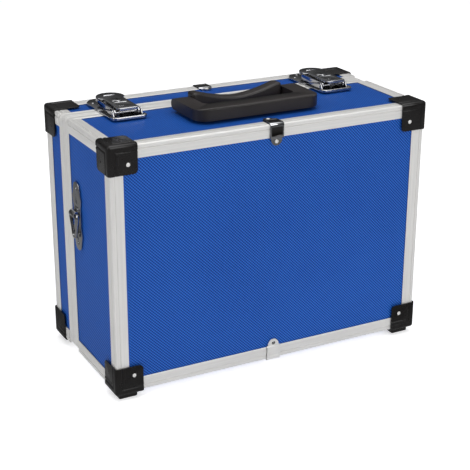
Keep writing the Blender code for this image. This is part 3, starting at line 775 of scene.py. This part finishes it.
def cornerModel(name, foot=None):
    # Built over a corner at the origin, with the case on the negative side of all three planes
    reach, proud = corner["reach"], corner["proud"]
    piece = block(name, (-reach,) * 3, (proud,) * 3)
    startEdit("EDGE")
    pick("EDGE", lambda place, run: sum(value > proud - 0.0001 for value in place) == 2)
    bpy.ops.mesh.bevel(offset=corner["round"], segments=5, affect="EDGES")
    for step, drop in corner["steps"]:
        for axis in range(3):
            normal = [float(index == axis) for index in range(3)]
            cutAt([-step * value for value in normal], normal)
            cutAt([-(step + corner["slope"]) * value for value in normal], normal)
    for step, drop in corner["steps"]:
        line = -step - corner["slope"] + 0.00005
        for axis in range(3):
            others = [index for index in range(3) if index != axis]
            pick("FACE", lambda centre, normal: normal[axis] > 0.9 and max(centre[i] for i in others) < line)
            bpy.ops.transform.translate(value=[-drop * (index == axis) for index in range(3)])
    closeShape()
    cutWith(piece, block("cornerHollow", (-reach - 0.01,) * 3, (0.0003,) * 3))
    take(piece)
    startEdit("EDGE")
    atTip = 0.0006 - reach
    pick("EDGE", lambda place, run: sum(value < atTip for value in place) == 2 and run.length < 0.003)
    bpy.ops.mesh.bevel(offset=corner["wingRound"], segments=5, affect="EDGES")
    closeShape()
    roundEdges(piece, 0.00028, 2, 28)
    if foot:
        inset, wide = foot
        deep, long = feet["body"]
        pad = block("footPad", (-inset - wide, -deep - long, 0.0005), (-inset, -deep, 0.0070))
        joinTo(piece, pad, (0.0012, 3))
    smooth(piece, 30)
    return piece


def addCorners():
    models = {"upper": cornerModel("cornerUpper")}
    for shell in ("body", "lid"):
        models[shell] = cornerModel(f"cornerLower_{shell}", feet[shell])
    away = corner["rivet"]
    # Front rivets are bright aluminium; side and top rivets take the dark rivet steel, a painted dark
    # reflection
    bare, dark = ("aluminium", aluminium["Y"], 1.12), ("black_plastic", rivetDarkReflection, 0.86)
    height = corner["proud"] - sum(drop for _, drop in corner["steps"]) - 0.0007
    for shell, sideY, face in shells:
        for level, sideZ, z in levels:
            for label, sideX in sides.items():
                place = Vector((sideAt[sideX], face, z))
                model = models["upper"] if level == "upper" else models[shell]
                name = f"{shell}Corner_{level}_{label}"
                piece = twin(model, name, (sideX, sideY, sideZ), place)
                node = f"{shell}_corner_{level}_{label}"
                complete(piece, bodyOf[shell], "black_plastic", cornerPlastic, node)
                outward = (sideX, sideY, sideZ)
                for axis, plane in enumerate(("Side", "Face", "End")):
                    if plane == "End" and level == "lower":
                        continue
                    spot = place - Vector([away * value for value in outward])
                    spot[axis] = place[axis] + outward[axis] * height
                    facing = [outward[axis] * (index == axis) for index in range(3)]
                    name = f"cornerRivet{plane}_{shell}_{level}_{label}"
                    addRivet(name, spot, facing, bodyOf[shell], *(bare if plane == "Face" else dark))
    for model in models.values():
        bpy.data.objects.remove(model, do_unlink=True)


addCorners()

print("edge clips")

clip = {
    "half": 0.0070,
    "over": 0.0128,
    "reach": 0.0200,
    "thick": 0.0010,
    "gap": 0.0003,
    "drop": 0.0010,
    "rivet": 0.0161,
    "waist": 0.0014,
    "flat": 0.0012,
    "press": 0.0004,
    "pressStart": 0.0024,
    "pressEnd": 0.0112,
}


def clipModel():
    # A pressed strip bent over the edge, stepping down past the frame on to each board
    near, far = clip["gap"], clip["gap"] + clip["thick"]
    over, reach, drop, half = clip["over"], clip["reach"], clip["drop"], clip["half"]
    outer = arc((-0.0010, -0.0010), far + 0.0010, 90, 0, 5)
    first = [(-reach, far - drop), (-over - 0.0006, far - drop), (-over, far)]
    outline = first + outer + [(b, a) for a, b in reversed(first)]
    outline += [(near - drop, -reach), (near - drop, -over - 0.0004), (near, -over + 0.0004), (near, near)]
    outline += [(-over + 0.0004, near), (-over - 0.0004, near - drop), (-reach, near - drop)]
    points = [(-half, a, b) for a, b in outline]
    piece = slab("clipModel", points, (2 * half, 0, 0))
    roundEdges(piece, 0.00025, 2, 30)
    # The tabs past the frame are narrower, with round ends; the middle of each flat is pressed in
    for axis, other in ((1, 2), (2, 1)):
        tab = half - clip["waist"]
        edge = arc((0, tab - reach), tab, 180, 360, 14)
        for hand in (-1, 1):
            run = [(u, v) for u, v in edge if u * hand >= -0.00001]
            run = run if hand > 0 else run[::-1]
            trim = [(0, -reach - 0.002)] + run + [(hand * tab, -over - 0.0007), (hand * 0.02, -over - 0.0007)]
            trim += [(hand * 0.02, -reach - 0.002)]
            corners = []
            for u, v in trim:
                corner3 = [u, 0, 0]
                corner3[axis], corner3[other] = -0.004, v
                corners.append(corner3)
            push = [0.008 * (index == axis) for index in range(3)]
            cutWith(piece, slab("clipTrim", corners, push))
        low, high = [clip["flat"] - half, 0, 0], [half - clip["flat"], 0, 0]
        low[axis], high[axis] = far - clip["press"], far + 0.002
        low[other], high[other] = -clip["pressEnd"], -clip["pressStart"]
        cutter = block("clipPress", low, high)
        cutWith(piece, cutter, (0.0008, 3, 50))
    piece.data.materials.append(chrome)
    # The pressed-in middle of each upper clip takes the dark nickel, a painted dark reflection
    piece.data.materials.append(nickelDarkReflection)
    for face in piece.data.polygons:
        place = face.center
        for axis, other in ((1, 2), (2, 1)):
            inPress = abs(place.x) < half - clip["flat"] - 0.0002
            inPress = inPress and -clip["pressEnd"] + 0.0002 < place[other] < -clip["pressStart"] - 0.0002
            if inPress and far - clip["press"] - 0.0001 < place[axis] < far - 0.0001:
                face.material_index = 1
    smooth(piece, 35)
    return piece


def addClips():
    model = clipModel()
    height = clip["gap"] + clip["thick"] - clip["drop"]
    for shell, sideY, face in shells:
        for level, sideZ, z in levels:
            place = Vector((0, face, z))
            piece = twin(model, f"{shell}Clip_{level}", (1, sideY, sideZ), place)
            if level == "lower":
                for number in range(2):
                    piece.data.materials[number] = aluminium["X"]
            complete(piece, bodyOf[shell], "chrome", None, f"{shell}_clip_{level}")
            spots = (
                ("Face", (0, sideY * height, -sideZ * clip["rivet"]), (0, sideY, 0)),
                ("End", (0, -sideY * clip["rivet"], sideZ * height), (0, 0, sideZ)),
            )
            look = ("aluminium", aluminium["Y"]) if level == "upper" else ("chrome", chrome)
            for label, spot, facing in spots:
                name = f"clipRivet{label}_{shell}_{level}"
                addRivet(name, place + Vector(spot), facing, bodyOf[shell], *look, 0.85)
    bpy.data.objects.remove(model, do_unlink=True)


addClips()

print("handle")

handle = {
    "half": 0.0640,
    "inner": 0.0470,
    "front": 0.0270,
    "barBack": 0.0490,
    "low": 0.0020,
    "thick": 0.0100,
    "axis": 0.0785,
    "cornerRound": 0.0140,
    "slotRound": 0.0050,
    "edgeRound": 0.0026,
    "bossRadius": 0.0030,
    "bossReach": 0.0080,
    "play": 0.0003,
}

bracket = {
    "half": 0.0465,
    "front": 0.0730,
    "back": 0.0860,
    "plateFront": 0.0700,
    "plateBack": 0.0920,
    "plate": 0.0030,
    "dip": 0.0078,
    "peak": 0.0160,
    "crest": 0.0410,
    "rivet": (0.0340, 0.0892),
}


def addHandle():
    axisY, z = front + handle["axis"], top + handle["low"]
    half, inner = handle["half"], handle["inner"]
    near, barBack = front + handle["front"], front + handle["barBack"]
    big, small = handle["cornerRound"], handle["slotRound"]
    outline = [(half, axisY), (inner, axisY)]
    outline += arc((inner - small, barBack + small), small, 0, -90, 6)
    outline += arc((small - inner, barBack + small), small, 270, 180, 6)
    outline += [(-inner, axisY), (-half, axisY)]
    outline += arc((big - half, near + big), big, 180, 270, 10)
    outline += arc((half - big, near + big), big, 270, 360, 10)
    grip = slab("handleGrip", [(x, y, z) for x, y in outline], (0, 0, handle["thick"]))
    middleZ = z + handle["thick"] / 2
    for side in sides.values():
        start, end = (side * inner, axisY, middleZ), (side * half, axisY, middleZ)
        joinTo(grip, roundBar("gripEnd", start, end, handle["thick"] / 2, 40))
    roundEdges(grip, handle["edgeRound"], 5, 50)
    for side in sides.values():
        start = (side * (inner - 0.005), axisY, middleZ)
        end = (side * (inner + handle["bossReach"] + handle["play"]), axisY, middleZ)
        cutWith(grip, roundBar("gripBore", start, end, handle["bossRadius"] + handle["play"]))
    smooth(grip, 40)
    complete(grip, "handle", "handle_plastic", handlePlastic, "handle_grip")

    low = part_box("handle_base")[0].z
    height = bracket["peak"] - bracket["dip"]
    ridge = [(bracket["half"], low), (bracket["half"], top + bracket["peak"])]
    steps = 24
    for step in range(steps + 1):
        x = bracket["crest"] * (1 - 2 * step / steps)
        ridge.append((x, top + bracket["dip"] + height * (abs(x) / bracket["crest"]) ** 1.7))
    ridge += [(-bracket["half"], top + bracket["peak"]), (-bracket["half"], low)]
    points = [(x, front + bracket["front"], z) for x, z in ridge]
    base = slab("handleBracket", points, (0, bracket["back"] - bracket["front"], 0))
    roundEdges(base, 0.0022, 4, 40)
    plate = block(
        "bracketPlate",
        (0.001 - bracket["half"], front + bracket["plateFront"], low + 0.0001),
        (bracket["half"] - 0.001, front + bracket["plateBack"], top + bracket["plate"]),
    )
    joinTo(base, plate, (0.0010, 3))
    for side in sides.values():
        first, last = side * (bracket["half"] - 0.004), side * (inner + handle["bossReach"])
        boss = roundBar("bracketBoss", (first, axisY, middleZ), (last, axisY, middleZ), handle["bossRadius"])
        joinTo(base, boss)
    smooth(base, 40)
    complete(base, "case_body", "handle_plastic", handlePlastic, "handle_base")
    for label, side in sides.items():
        spot = (side * bracket["rivet"][0], front + bracket["rivet"][1], top + bracket["plate"])
        # The bracket rivets take the dark rivet steel, a painted dark reflection
        addRivet(f"bracketRivet_{label}", spot, (0, 0, 1), "case_body", "black_plastic", rivetDarkReflection, 0.9)


addHandle()

print("latches")

latch = {
    "half": 0.0170,
    "plate": 0.0012,
    "gap": 0.0003,
    "baseFront": 0.0710,
    "baseBack": 0.1065,
    "rimHeight": 0.0027,
    "rimWide": 0.0021,
    "catchFront": 0.1095,
    "catchBack": 0.1480,
    "earHalf": 0.0144,
    "earThick": 0.0012,
    "linkHalf": 0.0126,
    "linkThick": 0.0020,
    "barRadius": 0.0026,
    "pin": 0.0012,
    "start": (0.0820, 0.0050),
    "end": (0.1180, 0.0058),
    "leverHalf": 0.0097,
    "leverFront": 0.0750,
    "leverLow": 0.0090,
    "leverThick": 0.0014,
    "hoodCentre": 0.1200,
    "hoodRadius": 0.0134,
    "lockY": 0.1040,
    "lockRadius": 0.0045,
    "lockLow": 0.0045,
    "baseRound": 0.0045,
    "rimTail": 0.0085,
    "earBack": 0.0210,
    "catchCut": (0.0070, 0.0100),
    "hook": (0.1225, 0.1275, 0.0080),
    "panel": (0.0062, 0.0965, 0.0066),
    "baseRivet": (0.0112, 0.0036),
    # name, distance from the middle, place from the front, size
    "catchRivets": (("catchRivet", 0.0122, 0.1335, 0.8), ("catchRivetBack", 0.0045, 0.1432, 0.7)),
    # half width, and reach before and after the cylinder's centre
    "keySlots": ((0.0006, 0.0026, 0.0026), (0.0011, 0.0008, 0.0010)),
    "play": 0.0003,
}


def plateOf(name, centre, outline, z, thick):
    return slab(name, [(centre + x, y, z) for x, y in outline], (0, 0, thick))


def sidePlate(name, x, side, thick):
    return slab(name, [(x, y, z) for y, z in side], (thick, 0, 0))


def pivot(end):
    y, z = latch[end]
    return front + y, top + z


def crossBar(name, centre, reach, place, radius, steps=32):
    return roundBar(name, (centre - reach, *place), (centre + reach, *place), radius, steps)


def uprightBar(name, centre, y, low, high, radius):
    return roundBar(name, (centre, y, low), (centre, y, high), radius, 40)


def middleBlock(name, centre, half, nearLow, farHigh):
    # A block as far to the left of the latch's middle as to the right
    return block(name, (centre - half, *nearLow), (centre + half, *farHigh))


def roundFront(half, near, radius, steps):
    outline = arc((radius - half, near + radius), radius, 180, 270, steps)
    return outline + arc((half - radius, near + radius), radius, 270, 360, steps)


def latchBase(label, centre):
    floor = top + latch["gap"]
    half, near, far = latch["half"], front + latch["baseFront"], front + latch["baseBack"]
    big, play = latch["baseRound"], latch["play"]
    outline = [(half, far), (-half, far)] + roundFront(half, near, big, 6)
    base = plateOf(f"latchBase_{label}", centre, outline, floor, latch["plate"])
    roundEdges(base, 0.0004, 2)
    # Raised bead round the front, pressed up from the plate
    wide, tail = latch["rimWide"], near + latch["rimTail"]
    outer = [(-half, tail)] + roundFront(half, near, big, 8) + [(half, tail)]
    inner = [(half - wide, tail)] + arc((half - big, near + big), big - wide, 360, 270, 8)
    inner += arc((big - half, near + big), big - wide, 270, 180, 8) + [(wide - half, tail)]
    bead = plateOf("latchBead", centre, outer + inner, floor + 0.0003, latch["rimHeight"] - 0.0003)
    joinTo(base, bead, (0.0009, 4, 50))
    pinPlace = pivot("start")
    pinY = pinPlace[0]
    for hand in (-1, 1):
        earLow, earBack = floor + 0.0005, pinY + latch["earBack"]
        side = [(pinY - 0.0052, earLow), (earBack, earLow), (earBack, earLow + 0.0026)]
        side += [(pinY + 0.0190, earLow + 0.0030)] + arc(pinPlace, 0.0026, 60, 180, 8)
        x = centre + hand * (latch["earHalf"] - latch["earThick"] / 2) - latch["earThick"] / 2
        ear = sidePlate("latchEar", x, side, latch["earThick"])
        joinTo(base, ear, (0.00025, 2, 50))
    cutWith(base, crossBar("earBore", centre, 0.02, pinPlace, latch["pin"] + play))
    completePlated(base, "case_body", f"latch_base_{label}")

    reach = latch["earHalf"] + 0.0006
    pin = crossBar(f"latchPin_{label}", centre, reach, pinPlace, latch["pin"], 24)
    roundEdges(pin, 0.0003, 3, 50)
    completePlated(pin, "case_body", f"latch_pin_{label}")
    for hand, word in ((-1, "a"), (1, "b")):
        away, inset = latch["baseRivet"]
        spot = (centre + hand * away, near + inset, floor + latch["plate"])
        addRivet(f"latchBaseRivet_{label}_{word}", spot, (0, 0, 1), "case_body", size=0.55)


def latchLink(label, centre):
    pinPlace, tipPlace = pivot("start"), pivot("end")
    tilt = math.degrees(math.atan2(tipPlace[1] - pinPlace[1], tipPlace[0] - pinPlace[0]))
    radius, half, thick = latch["barRadius"], latch["linkHalf"], latch["linkThick"]
    link = crossBar(f"latchLink_{label}", centre, half - 0.0005, tipPlace, latch["pin"], 24)
    for hand in (-1, 1):
        outline = arc(pinPlace, radius, 90 + tilt, 270 + tilt, 12)
        outline += arc(tipPlace, radius, 270 + tilt, 450 + tilt, 12)
        x = centre + hand * (half - thick / 2) - thick / 2
        bar = sidePlate("latchBar", x, outline, thick)
        take(bar)
        startEdit("FACE")
        pick("FACE", lambda place, normal: abs(normal.x) > 0.9)
        bpy.ops.mesh.inset(thickness=0.0009)
        bpy.ops.transform.resize(value=(0.72, 1, 1), center_override=(x + thick / 2, *pinPlace))
        closeShape()
        joinTo(link, bar, (0.0003, 2, 40))
    cutWith(link, crossBar("linkBore", centre, 0.02, pinPlace, latch["pin"] + latch["play"]))
    completePlated(link, f"{label}_latch_link", f"latch_link_{label}")


def latchLever(label, centre):
    low = top + latch["leverLow"]
    high, play = low + latch["leverThick"], latch["play"]
    half, near = latch["leverHalf"], front + latch["leverFront"]
    hoodY, hood = front + latch["hoodCentre"], latch["hoodRadius"]
    tipPlace = tipY, tipZ = pivot("end")
    outline = roundFront(half, near, 0.0012, 4) + [(half, hoodY - 0.0070)]
    outline += arc((0, hoodY), hood, -15, 195, 32) + [(-half, hoodY - 0.0070)]
    lever = plateOf(f"latchLever_{label}", centre, outline, low, latch["leverThick"])
    roundEdges(lever, 0.0006, 4, 50)
    # Rolled finger lip, folded side flanges and the hood's skirt
    ends = (near + 0.0001, low - 0.0012), (near + 0.0019, low + 0.0006)
    lip = middleBlock("leverLip", centre, half - 0.0010, *ends)
    joinTo(lever, lip, (0.0005, 3, 50))
    for hand in (-1, 1):
        first, last = sorted((centre + hand * (half - 0.0001), centre + hand * (half - 0.0011)))
        ends = (first, near + 0.0065, low - 0.0019), (last, hoodY - 0.0078, low + 0.0004)
        flange = block("leverFlange", *ends)
        joinTo(lever, flange, (0.0003, 2, 50))
        cheek = [(tipY - 0.0040, low + 0.0005), (tipY - 0.0024, tipZ)]
        cheek += arc(tipPlace, 0.0024, 180, 360, 12) + [(tipY + 0.0040, low + 0.0005)]
        x = centre + hand * (half - 0.0006) - 0.0006
        joinTo(lever, sidePlate("leverCheek", x, cheek, 0.0012))
    skirt = arc((0, hoodY), hood - 0.0002, 28, 152, 20)
    skirt += arc((0, hoodY), hood - 0.0014, 152, 28, 20)
    joinTo(lever, plateOf("leverSkirt", centre, skirt, top + 0.0065, 0.0032))
    # Pressed panel on the lever and a raised crease where the hood starts
    panelInset, panelEnd, panelHalf = latch["panel"]
    ends = (near + panelInset, high - 0.0004), (front + panelEnd, high + 0.0010)
    panel = middleBlock("leverPanel", centre, panelHalf, *ends)
    cutWith(lever, panel, (0.0012, 3, 50))
    ends = (hoodY + 0.0022, high - 0.0004), (hoodY + 0.0036, high + 0.0005)
    crease = middleBlock("hoodCrease", centre, 0.0058, *ends)
    joinTo(lever, crease, (0.0004, 3, 50))
    lockY, radius = front + latch["lockY"], latch["lockRadius"]
    collar = uprightBar("lockCollar", centre, lockY, high - 0.0004, high + 0.0004, radius + 0.0014)
    joinTo(lever, collar, (0.0003, 2, 50))
    cutWith(lever, uprightBar("lockHole", centre, lockY, low - 0.002, high + 0.002, radius + play))
    cutWith(lever, crossBar("leverBore", centre, 0.0102, tipPlace, latch["pin"] + play))
    completePlated(lever, f"{label}_latch_lever", f"latch_lever_{label}")

    lockLow, lockHigh = top + latch["lockLow"], high + 0.0006
    lock = uprightBar(f"lockCylinder_{label}", centre, lockY, lockLow, lockHigh, radius)
    roundEdges(lock, 0.0004, 3, 50)
    for reach, before, after in latch["keySlots"]:
        ends = (lockY - before, high - 0.0040), (lockY + after, high + 0.0020)
        cutWith(lock, middleBlock("keySlot", centre, reach, *ends))
    completePlated(lock, f"{label}_lock", f"lock_cylinder_{label}")


def latchCatch(label, centre):
    floor = top + latch["gap"]
    half, near, far = latch["half"], front + latch["catchFront"], front + latch["catchBack"]
    cutX, cutY = latch["catchCut"]
    outline = [(-half, near), (half, near), (half, far - cutY), (half - cutX, far)]
    outline += [(cutX - half, far), (-half, far - cutY)]
    catch = plateOf(f"latchCatch_{label}", centre, outline, floor, latch["plate"])
    take(catch)
    startEdit("EDGE")
    pick("EDGE", lambda place, run: abs(run.z) > 0.0005 and place.y > near + 0.001)
    bpy.ops.mesh.bevel(offset=0.0030, segments=4, affect="EDGES")
    closeShape()
    roundEdges(catch, 0.00035, 2, 50)
    hookFront, hookBack, hookHalf = latch["hook"]
    ends = (front + hookFront, floor + 0.0005), (front + hookBack, floor + 0.0047)
    hook = middleBlock("catchHook", centre, hookHalf, *ends)
    joinTo(catch, hook, (0.0009, 3, 50))
    completePlated(catch, "lid", f"latch_catch_{label}")
    for hand, word in ((-1, "a"), (1, "b")):
        for name, away, y, size in latch["catchRivets"]:
            spot = (centre + hand * away, front + y, floor + latch["plate"])
            addRivet(f"{name}_{label}_{word}", spot, (0, 0, 1), "lid", size=size)


for label in sides:
    low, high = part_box(f"latch_base_{label}")
    middleX = (low.x + high.x) / 2
    latchBase(label, middleX)
    latchLink(label, middleX)
    latchLever(label, middleX)
    latchCatch(label, middleX)

print("strap brackets")

strap = {
    "y": 0.0820,
    "z": 0.1440,
    "long": 0.0330,
    "wide": 0.0110,
    "waist": 0.0082,
    "plate": 0.0012,
    "gap": 0.0003,
    "sink": 0.0011,
    "ringZ": 0.1470,
    "ringOut": 0.0032,
    "wire": 0.0015,
    "ringHalf": 0.0100,
    "ringDrop": 0.0300,
    "topBend": 0.0022,
    "tipBend": 0.0035,
    "sleeve": 0.0032,
    "sleeveHalf": 0.0055,
    "lobe": 0.0085,
    "grooves": ((0.0120, 0.0210), (-0.0225, -0.0150)),
    "grooveHalf": 0.0021,
    "flareAway": 0.0042,
    "flareHalf": 0.0016,
    "rivet": 0.0262,
    "wireSteps": 10,
}


def addStrapBracket(label, side):
    wall = sideAt[side] - side * strap["sink"]
    inner, y, z = wall + side * strap["gap"], front + strap["y"], bottom + strap["z"]
    long, wide, waist = strap["long"], strap["wide"], strap["waist"]
    # Two rounded lobes joined by a narrower waist behind the ring
    lobe = strap["lobe"]
    end = arc((0, long - lobe), lobe, 90, 38, 6) + [(wide - 0.0005, 2 * lobe), (waist, lobe)]
    lower = [(u, -v) for u, v in reversed(end)]
    half = end + lower[:-1] + [(0, -long)]
    outline = half + [(-u, v) for u, v in reversed(half[1:-1])]
    points = [(inner, y + u, z + v) for u, v in outline]
    plate = slab(f"strapPlate_{label}", points, (side * strap["plate"], 0, 0))
    roundEdges(plate, 0.0004, 3, 50)
    outer = inner + side * strap["plate"]
    # Pressed groove above the bridge and a shallow one below
    first, last = sorted((outer - side * 0.0005, outer + side * 0.0010))
    reach = strap["grooveHalf"]
    for low, high in strap["grooves"]:
        groove = block("plateGroove", (first, y - reach, z + low), (last, y + reach, z + high))
        cutWith(plate, groove, (0.0004, 2, 50))
    ringX, ringZ = sideAt[side] + side * strap["ringOut"], bottom + strap["ringZ"]
    ends = sorted((outer - side * 0.0006, ringX))
    hold = strap["sleeveHalf"]
    footLow = (ends[0], y - hold + 0.0002, ringZ - 0.0029)
    footHigh = (ends[1], y + hold - 0.0002, ringZ + 0.0029)
    joinTo(plate, block("sleeveFoot", footLow, footHigh))
    sleeve = roundBar("sleeve", (ringX, y - hold, ringZ), (ringX, y + hold, ringZ), strap["sleeve"], 36)
    joinTo(plate, sleeve, (0.0004, 2, 50))
    first, last = sorted((outer - side * 0.0006, outer + side * 0.0012))
    for edge in (-1, 1):
        level = ringZ + edge * strap["flareAway"]
        flareLow = (first, y - hold + 0.0004, level - strap["flareHalf"])
        flareHigh = (last, y + hold - 0.0004, level + strap["flareHalf"])
        flare = block("sleeveFlare", flareLow, flareHigh)
        joinTo(plate, flare, (0.0007, 3, 50))
    start, end = (ringX, y - 0.02, ringZ), (ringX, y + 0.02, ringZ)
    cutWith(plate, roundBar("sleeveBore", start, end, strap["wire"] + 0.0003, 28))
    completePlated(plate, "case_body", f"strap_plate_{label}")
    for word, up in (("upper", strap["rivet"]), ("lower", -strap["rivet"])):
        addRivet(f"strapRivet_{label}_{word}", (outer, y, z + up), (side, 0, 0), "case_body", size=0.95)

    # Triangular ring of round wire, point down
    rest()
    ringHalf = strap["ringHalf"]
    corners = [Vector((ringHalf, 0)), Vector((-ringHalf, 0)), Vector((0, -strap["ringDrop"]))]
    bends = (strap["topBend"], strap["topBend"], strap["tipBend"])
    path = []
    for index, corner2 in enumerate(corners):
        before = (corners[index - 1] - corner2).normalized()
        after = (corners[(index + 1) % 3] - corner2).normalized()
        halfAngle = before.angle(after) / 2
        centre = corner2 + (before + after).normalized() * (bends[index] / math.sin(halfAngle))
        first = corner2 + before * (bends[index] / math.tan(halfAngle)) - centre
        last = corner2 + after * (bends[index] / math.tan(halfAngle)) - centre
        start, sweep = math.atan2(first.y, first.x), -first.angle_signed(last)
        for step in range(strap["wireSteps"] + 1):
            angle = start + sweep * step / strap["wireSteps"]
            path.append(centre + bends[index] * Vector((math.cos(angle), math.sin(angle))))
    wire = bpy.data.curves.new(f"strapRing_{label}", "CURVE")
    wire.dimensions = "3D"
    wire.bevel_depth = strap["wire"]
    wire.bevel_resolution = 5
    spline = wire.splines.new("POLY")
    spline.points.add(len(path) - 1)
    for point, (u, v) in zip(spline.points, path):
        point.co = (ringX, y + u, ringZ + v, 1.0)
    spline.use_cyclic_u = True
    ring = bpy.data.objects.new(f"strapRing_{label}", wire)
    bpy.context.scene.collection.objects.link(ring)
    take(ring)
    bpy.ops.object.convert(target="MESH")
    ring = bpy.context.object
    startEdit()
    closeShape()
    smooth(ring, 60)
    complete(ring, f"{label}_strap_ring", "chrome", chrome, f"strap_ring_{label}")


for label, side in sides.items():
    addStrapBracket(label, side)

print("foam")

pockets = {
    "tube": ((-0.140, 0.140), (0.135, 0.219), 0.080),
    "mount": ((-0.140, -0.020), (0.028, 0.120), 0.070),
    "eyepieceA": ((0.000, 0.040), (0.080, 0.120), 0.060),
    "eyepieceB": ((0.050, 0.090), (0.080, 0.120), 0.060),
    "eyepieceC": ((0.100, 0.140), (0.080, 0.120), 0.060),
    "accessory": ((0.000, 0.140), (0.028, 0.066), 0.060),
}

pocketRound = 0.006
crate = {"pitch": 0.0250, "depth": 0.0060, "cell": 0.0025, "edge": 0.0080}


def addBodyFoam():
    low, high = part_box("body_foam")
    pad = block("bodyFoam", low, high)
    for name, ((xLow, xHigh), (zLow, zHigh), depth) in pockets.items():
        cutter = block(f"pocket_{name}", (xLow, high.y - depth, zLow), (xHigh, high.y + 0.01, zHigh))
        cutWith(pad, cutter, (pocketRound, 5, 50))
    roundEdges(pad, 0.0011, 3, 50)
    smooth(pad, 40)
    complete(pad, "case_body", "grey_foam", foam, "body_foam")


def addLidFoam():
    # Profiled foam: rounded peaks towards the contents, flat against the lid's board
    low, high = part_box("lid_foam")
    columns = round((high.x - low.x) / crate["cell"])
    rows = round((high.z - low.z) / crate["cell"])
    size = (high.x - low.x, high.z - low.z, 1)
    place = ((low.x + high.x) / 2, low.y, (low.z + high.z) / 2)
    pad = gridSheet("lidFoam", columns, rows, size, (math.radians(90), 0, 0), place)
    turn = math.pi / crate["pitch"] * 2
    for vertex in pad.data.vertices:
        x, z = vertex.co.x, vertex.co.z - (low.z + high.z) / 2
        margin = min(x - low.x, high.x - x, vertex.co.z - low.z, high.z - vertex.co.z)
        flat = min(1.0, margin / crate["edge"])
        wave = 0.5 - 0.25 * (math.cos(turn * x) + math.cos(turn * z))
        vertex.co.y += crate["depth"] * (1 - flat * wave)
    startEdit("EDGE")
    thicken((0, high.y - low.y - crate["depth"], 0))
    smooth(pad, 55)
    complete(pad, "lid", "grey_foam", foam, "lid_foam")


addBodyFoam()
addLidFoam()

print("hinge")

hinge = {"rivets": 6, "margin": 0.0120, "away": 0.0072, "leaf": 0.0010}


def addHinge():
    for node, body, towards in (("hinge_leaf_body", "case_body", -1), ("hinge_leaf_lid", "lid", 1)):
        leaf = frame["nodes"][node]
        leaf.data.materials.clear()
        leaf.data.materials.append(aluminium["X"])
        low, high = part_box(node)
        under = bottom - extrusion["gap"] - hinge["leaf"]
        spacing = (high.x - low.x - 2 * hinge["margin"]) / (hinge["rivets"] - 1)
        for number in range(hinge["rivets"]):
            x = low.x + hinge["margin"] + number * spacing
            name, spot = f"hingeRivet_{body}_{number}", (x, split + towards * hinge["away"], under)
            addRivet(name, spot, (0, 0, -1), body, "aluminium", size=0.75)
    pin = frame["nodes"]["hinge_pin"]
    pin.data.materials.clear()
    pin.data.materials.append(chrome)


addHinge()

bpy.data.objects.remove(rivetModel, do_unlink=True)
bpy.context.view_layer.update()

print("finished")
